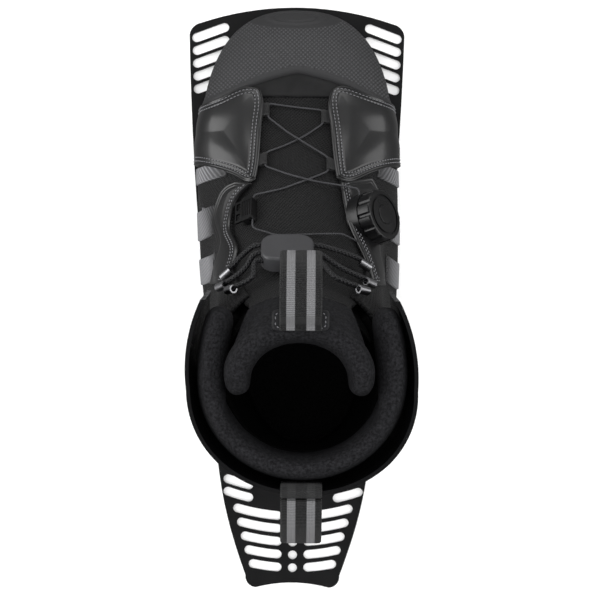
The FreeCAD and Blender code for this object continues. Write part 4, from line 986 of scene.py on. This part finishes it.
def tongue_pad_stations():
    half, middle, front = 37.4, -48.0, -18.7
    stations = []
    for turn in (-22, 8, 38, 65, 90, 115, 142, 172, 202):
        a = math.radians(turn)
        x = LEG_X - 1.7 + half * math.cos(a) * (1.0 if math.sin(a) > 0 else 0.98)
        y = middle + math.sin(a) * (front - middle)
        ends = max(0.0, -math.sin(a)) + max(0.0, 0.25 - math.sin(a)) * 0.6
        stations.append((x, y, 18.0 - 5.0 * ends, TONGUE_PAD_TOP - 14.0 * ends))
    return stations[::-1]


# Laces, cords and what they run through

def normal_at(x, y):
    chart, _ = on_plan([x, x + 0.5, x], [y, y, y + 0.5])
    a, b, c = surface(chart[:, 0], chart[:, 1])
    n = np.cross(b - a, c - a)
    return a, n / np.linalg.norm(n)


def over(x, y, height):
    """Point at a height over the form's top side."""
    point, normal = normal_at(x, y)
    return point + normal * height


def over_tongue(x, y, lift):
    return over(x, y, TONGUE_OUT + lift)


def over_upper(x, y, lift):
    return over(x, y, OVER_OUT + lift)


LOOP_HALF, LOOP_HOLE_R, LOOP_WALL = 4.5, 0.9, 0.8
LOOPS = {"left_top": (-19.4, 125.0, 1), "left_mid": (-20.6, 91.0, 1),
         "right_top": (18.6, 120.5, -1), "right_mid": (22.2, 88.0, -1)}


def loop_axis(place):
    x, y, _ = LOOPS[place]
    lift = LOOP_HOLE_R + LOOP_WALL + 0.3
    return over_tongue(x, y - LOOP_HALF, lift), over_tongue(x, y + LOOP_HALF, lift)


def dial_frame():
    """Dial's middle, its heading across the boot and its heading along it."""
    along = np.array([0.0, 1.0, 0.0])
    along = along - DIAL_AXIS * along.dot(DIAL_AXIS)
    along /= np.linalg.norm(along)
    return dial_point(), np.cross(along, DIAL_AXIS), along


def dial_port(sign, out):
    middle, across, along = dial_frame()
    return middle - 9.0 * across + sign * out * along + 1.3 * DIAL_AXIS


def lace_line():
    """The lower lace's way, from the dial through the loops and the guide and back."""
    lt, lm, rt, rm = (loop_axis(k) for k in ("left_top", "left_mid", "right_top", "right_mid"))
    points = [dial_port(1, 15.2), dial_port(1, 20.0), over_upper(28.5, 71.5, 1.3), over_tongue(13.0, 75.5, 2.8),
              over_tongue(-4.0, 80.0, 2.6), lm[0], lm[1], over_tongue(-7.0, 101.0, 1.2), over_tongue(6.0, 107.5, 1.2),
              rt[0], rt[1], over_tongue(0.5, 127.5, 1.3), lt[1], lt[0], over_tongue(-6.0, 109.5, 2.8),
              over_tongue(8.0, 100.5, 2.8), rm[1], rm[0], over_tongue(8.0, 77.5, 1.2), over_tongue(0.7, 74.8, 1.4),
              over_tongue(-8.0, 71.5, 1.2), over_tongue(-27.0, 66.0, 3.4), over_tongue(-27.0, 44.0, 3.4),
              over_tongue(-12.0, 40.5, 1.4), over_tongue(3.0, 41.0, 1.4), over_tongue(17.0, 41.0, 2.2),
              over_upper(29.0, 39.0, 1.4), dial_port(-1, 20.0), dial_port(-1, 15.2)]
    return np.array(points)


def eased(points, radius, count):
    """Points joined by straight runs whose corners are eased over a length."""
    points = np.asarray(points, float)
    line = [points[0]]
    for a, b, c in zip(points, points[1:], points[2:]):
        reach = min(radius, np.linalg.norm(b - a) * 0.45, np.linalg.norm(c - b) * 0.45)
        start = b + (a - b) / np.linalg.norm(a - b) * reach
        end = b + (c - b) / np.linalg.norm(c - b) * reach
        for t in np.linspace(0, 1, 9):
            line.append((1 - t) ** 2 * start + 2 * t * (1 - t) * b + t * t * end)
    line.append(points[-1])
    return even(np.array(line), count)


CORD_ENDS = {
    (-1, 8.5): [(-30.0, 24.0, 3.2), (-36.0, 17.0, 3.2), (-41.5, 12.0, 3.2)],
    (-1, 0.0): [(-28.0, 14.0, 3.4), (-36.0, 8.0, 3.3), (-44.0, 5.0, 3.2)],
    (-1, -8.5): [(-23.0, 8.0, 3.4), (-30.5, 4.0, 3.3), (-38.0, 2.5, 3.2)],
    (1, 8.5): [(27.0, 26.0, 3.2), (36.0, 23.0, 3.2), (43.5, 18.5, 3.2)],
    (1, 0.0): [(26.0, 15.0, 3.4), (37.0, 10.5, 3.3), (46.0, 7.5, 3.2)],
    (1, -8.5): [(23.0, 8.0, 3.4), (32.5, 4.5, 3.3), (41.5, 2.5, 3.2)],
}
CORD_R = 1.75

# Cord lock: its middle, half width and the way its cord holes follow each other
LOCK_MIDDLE = np.array([-4.5, 28.14, 155.56])
LOCK_HALF = 16.5
LOCK_ALONG = np.array([0.0, 0.589, -0.808])


def cords():
    lace = tube("lower_lace_wire", eased(lace_line(), 3.5, 700), 0.6, "lace_wire", sides=10)
    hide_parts("lower_lace")
    for k, ((sign, at), ends) in enumerate(CORD_ENDS.items()):
        start = LOCK_MIDDLE + at * LOCK_ALONG
        points = [start + [sign * (LOCK_HALF - 5.0), 0, 0], start + [sign * (LOCK_HALF + 4.0), 0, 0]]
        points += [over_upper(*p) for p in ends]
        line = eased(points, 12.0, 70)
        piece = tube(f"upper_cord_{k}", line, CORD_R, "cord", sides=16)
        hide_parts("upper_cord")


def lace_loops():
    """Narrow webbing folded round the lace, with a ribbed face and its tail under the panel's edge."""
    for place, (x, y, sign) in LOOPS.items():
        a, b = loop_axis(place)
        way = (b - a) / np.linalg.norm(b - a)
        up = normal_at(x, y)[1]
        up = up - way * up.dot(way)
        up /= np.linalg.norm(up)
        out = np.cross(way, up) * -sign * 1.0
        if out[0] * sign > 0:
            out = -out
        outer, inner = LOOP_HOLE_R + LOOP_WALL, LOOP_HOLE_R
        profile = [(4.6, 0.95), (1.6, 1.05)]
        profile += [(outer * math.sin(t), outer * math.cos(t)) for t in np.radians(np.linspace(35, -195, 26))]
        profile += [(1.6, -1.35), (4.6, -0.25), (4.6, -0.15), (2.2, -0.2)]
        profile += [(inner * math.sin(t), inner * math.cos(t)) for t in np.radians(np.linspace(-215, 60, 26))]
        profile += [(2.2, 0.3), (4.6, 0.05)]
        rows = np.linspace(-LOOP_HALF, LOOP_HALF, 46)
        verts, uv = [], []
        for r in rows:
            swell = 0.12 * abs(math.sin(math.pi * (r + LOOP_HALF) / 1.1))
            for k, (p, q) in enumerate(profile):
                scale = 1 + (swell / outer if 1 < k < 28 else 0)
                verts.append((a + b) / 2 + way * r + out * p * scale + up * q * scale)
                uv.append((r, k * 0.5))
        n = len(profile)
        faces = [(i * n + k, i * n + (k + 1) % n, (i + 1) * n + (k + 1) % n, (i + 1) * n + k)
                 for i in range(len(rows) - 1) for k in range(n)]
        ends = []
        for first in (0, (len(rows) - 1) * n):
            ends += [tuple(first + k for k in range(n))]
        faces += [ends[0][::-1], ends[1]]
        piece = add_piece(f"{place}_webbing_loop", verts, faces, "webbing", uv=uv, finish="plain_webbing")
        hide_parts(place + "_lace_loop")


def tongue_hood():
    """Thin fabric that closes the tongue's top edge to its pad."""
    turn = np.linspace(58, 122, 60)
    low = surface(turn, np.full(60, 193.0)) + [0, -2.2, 0]
    a = np.radians(np.linspace(28, 152, 60))
    pad = np.stack([LEG_X - 1.7 + 45.0 * np.cos(a), -48.0 + 37.0 * np.sin(a), np.full(60, 226.0)], 1)
    rows = []
    for t in np.linspace(0, 1, 24):
        bulge = 1.6 * math.sin(math.pi * t)
        rows.append(low * (1 - t) + pad * t + np.array([0, bulge, 0]))
    outer = np.array(rows)
    inner = outer - normals_of(outer) * 1.2
    nu, nv = outer.shape[:2]
    n = nu * nv
    faces = grid_faces(nu, nv) + grid_faces(nu, nv, n, True)
    ring = [i * nv for i in range(nu)] + [(nu - 1) * nv + j for j in range(1, nv)]
    ring += [i * nv + nv - 1 for i in range(nu - 2, -1, -1)] + list(range(nv - 2, 0, -1))
    faces += [(q, p, p + n, q + n) for p, q in zip(ring, ring[1:] + ring[:1])]
    add_piece("tongue_top_fabric", np.concatenate([outer.reshape(-1, 3), inner.reshape(-1, 3)]), faces, "pad_fabric")


def gusset(name, turns):
    """Thin fabric wall inside, from the tongue's edge to the sock's open edge."""
    turn, z = np.linspace(*turns, 40)[:, None], np.linspace(104.0, 196.0, 60)[None]
    points = surface(turn + 0 * z, z + 0 * turn)
    normals = normals_of(points)
    outer, inner = points - normals * 8.0, points - normals * 9.2
    nu, nv = outer.shape[:2]
    n = nu * nv
    faces = grid_faces(nu, nv, 0, True) + grid_faces(nu, nv, n, False)
    ring = [i * nv for i in range(nu)] + [(nu - 1) * nv + j for j in range(1, nv)]
    ring += [i * nv + nv - 1 for i in range(nu - 2, -1, -1)] + list(range(nv - 2, 0, -1))
    faces += [(p, q, q + n, p + n) for p, q in zip(ring, ring[1:] + ring[:1])]
    add_piece(name, np.concatenate([outer.reshape(-1, 3), inner.reshape(-1, 3)]), faces, "lining")


# Webbing loops and the patch

def webbing():
    x = LEG_X - 1.2
    z = 243.5
    path = through([(-17.0, z + 1.2), (-10.0, z + 1.2), (-3.0, z + 1.1), (5.0, z + 0.1), (13.0, z - 2.6),
                    (20.0, z - 7.4), (24.6, z - 11.2), (26.6, z - 11.6), (26.6, z - 9.8), (22.0, z - 0.4),
                    (14.0, z + 7.4), (5.0, z + 10.9), (-4.0, z + 12.2), (-10.0, z + 10.4), (-13.8, z + 5.4),
                    (-15.6, z + 3.6), (-19.5, z + 3.5)], 170)
    loop = band_sweep("front_loop_webbing", path, STRAP_WIDTH, STRAP_T, x, "webbing", None)
    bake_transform(loop)
    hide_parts("tongue_pull_loop")

    rim = -118.13
    outside = rim - 0.35
    tab = through([(rim + 6.0, 197.0), (rim + 6.0, 214.0), (rim + 5.6, 221.0), (rim + 3.0, 223.2), (rim + 0.6, 223.0),
                   (outside - 0.7, 220.8), (outside - 0.7, 214.0), (outside - 0.7, 208.0)], 90)
    fold = band_sweep("heel_tab_webbing", tab, STRAP_WIDTH, 1.4, LEG_X, "webbing", "boot", finish="plain_webbing")
    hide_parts("heel_loop_tab")

    y, z = outside - 1.4 - 0.3, 222.0
    ring = through([(y - 1.3, z - 1.0), (y - 7.0, z - 3.6), (y - 16.0, z - 9.0), (y - 24.0, z - 18.4),
                    (y - 28.2, z - 26.8), (y - 28.4, z - 30.0), (y - 26.2, z - 30.6), (y - 20.0, z - 26.4),
                    (y - 13.0, z - 21.4), (y - 6.0, z - 15.4), (y - 1.4, z - 11.6), (y - 1.25, z - 7.0),
                    (y - 1.25, z - 3.4)], 170)
    loop = band_sweep("heel_loop_webbing", ring, STRAP_WIDTH, STRAP_T, LEG_X, "webbing", None)
    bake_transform(loop)
    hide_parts("heel_pull_loop")


def patch():
    """Small padded patch sewn over the tongue pad's front."""
    x0, y0, w, d = LEG_X - 1.2, -13.5, 34.0, 13.0
    nu, nv = 60, 30
    u = np.linspace(-1, 1, nu)[:, None]
    v = np.linspace(-1, 1, nv)[None]
    px = x0 + u * w / 2 * (1 - 0.16 * np.clip(np.abs(v) - 0.55, 0, 1) ** 2 * 2)
    py = y0 + v * d / 2 * (1 - 0.45 * np.clip(np.abs(u) - 0.7, 0, 1) ** 2 * 3)
    near = np.minimum((1 - np.abs(u)) * w / 2 + 0 * v, (1 - np.abs(v)) * d / 2 + 0 * u)
    droop = 1.2 * u ** 2
    top = 241.25 + rolled(near, 0.2, 1.9, 1.4) - droop + dent(near, 2.2, 0.35, 0.25)
    base = np.broadcast_to(241.25 - droop, top.shape)
    verts = np.concatenate([np.stack([px, py, top], -1).reshape(-1, 3), np.stack([px, py, base], -1).reshape(-1, 3)])
    n = nu * nv
    faces = grid_faces(nu, nv) + grid_faces(nu, nv, n, True)
    ring = [i * nv for i in range(nu)] + [(nu - 1) * nv + j for j in range(1, nv)]
    ring += [i * nv + nv - 1 for i in range(nu - 2, -1, -1)] + list(range(nv - 2, 0, -1))
    faces += [(q, p, p + n, q + n) for p, q in zip(ring, ring[1:] + ring[:1])]
    piece = add_piece("loop_patch", verts, faces, "patch_fabric")
    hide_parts("tongue_patch")
    a, b = w / 2 - 2.4, d / 2 - 2.2
    line = through([(-a, 0), (-a, b * 0.7), (-a * 0.9, b), (0, b), (a * 0.9, b), (a, b * 0.7), (a, 0), (a, -b * 0.7),
                    (a * 0.9, -b), (0, -b), (-a * 0.9, -b), (-a, -b * 0.7), (-a, 0)], 200)
    height = 243.05 - 1.2 * (line[:, 0] / (w / 2)) ** 2
    stitches("loop_patch_stitches", (np.stack([x0 + line[:, 0], y0 + line[:, 1], height], 1),
                                     np.tile([0.0, 0, 1], (len(line), 1))), "patch_fabric")


# Camera: straight above, 1.5 m over the plate

def camera():
    lens = bpy.data.cameras.new("camera")
    lens.sensor_fit = "HORIZONTAL"
    lens.sensor_width = 36
    lens.lens = 36 * 1500 / 420
    lens.clip_end = 10
    cam = bpy.data.objects.new("camera", lens)
    cam.location = (3.7 * MM, -1.6 * MM, 1.5)
    cam.rotation_euler = (0, 0, math.radians(0.5))
    bpy.context.scene.collection.objects.link(cam)
    bpy.context.scene.camera = cam


def area_light(name, place, target, size, power, glossy=True):
    data = bpy.data.lights.new(name, "AREA")
    data.shape = "RECTANGLE"
    data.size, data.size_y = size
    data.energy = power
    lamp = bpy.data.objects.new(name, data)
    lamp.location = place
    lamp.rotation_euler = (Vector(target) - Vector(place)).to_track_quat("-Z", "Y").to_euler()
    lamp.visible_glossy = glossy
    bpy.context.scene.collection.objects.link(lamp)


def studio():
    world = bpy.data.worlds.new("studio")
    world.use_nodes = True
    world.node_tree.nodes["Background"].inputs["Color"].default_value = (1, 1, 1, 1)
    world.node_tree.nodes["Background"].inputs["Strength"].default_value = 0.16
    bpy.context.scene.world = world
    bpy.context.scene.view_settings.view_transform = "Standard"
    area_light("ceiling", (0, 0, 2.2), (0, 0, 0), (2.6, 2.6), 78, glossy=False)
    area_light("left_wall", (-1.0, 0.1, 0.5), (0, 0, 0.08), (1.2, 0.8), 9)
    area_light("right_wall", (1.0, 0.1, 0.5), (0, 0, 0.08), (1.2, 0.8), 6)
    area_light("toe_wall", (0, 1.3, 0.6), (0, 0, 0.08), (1.4, 0.7), 6)
    area_light("heel_wall", (0, -1.3, 0.7), (0, 0, 0.1), (1.4, 0.7), 5)
    r = 4.0
    mesh = bpy.data.meshes.new("floor")
    mesh.from_pydata([(-r, -r, 0), (r, -r, 0), (r, r, 0), (-r, r, 0)], [], [(0, 1, 2, 3)])
    floor = bpy.data.objects.new("floor", mesh)
    bpy.context.scene.collection.objects.link(floor)
    floor.location.z = -0.0002
    floor.visible_glossy = False
    mesh.materials.append(material("pale_floor", "#fdfdfd", 0.8)[0])


camera()
toe_cap()
vamp()
quarter(-1, "left_mesh_side", "left_quarter")
quarter(1, "right_mesh_side", "right_quarter")
for node in OVERLAYS:
    overlay(node)
for node in EYESTAYS:
    eyestay(node)
for node in BANDS:
    side_bands(node)
tongue()
liner()
pad_piece("padded_collar", "collar_pad", collar_stations(), COLLAR_LOW)
pad_piece("padded_tongue_top", "tongue_pad", tongue_pad_stations(), TONGUE_PAD_LOW)
cords()
lace_loops()
tongue_hood()
gusset("right_gusset", (30.0, 62.0))
gusset("left_gusset", (118.0, 150.0))
webbing()
patch()
studio()
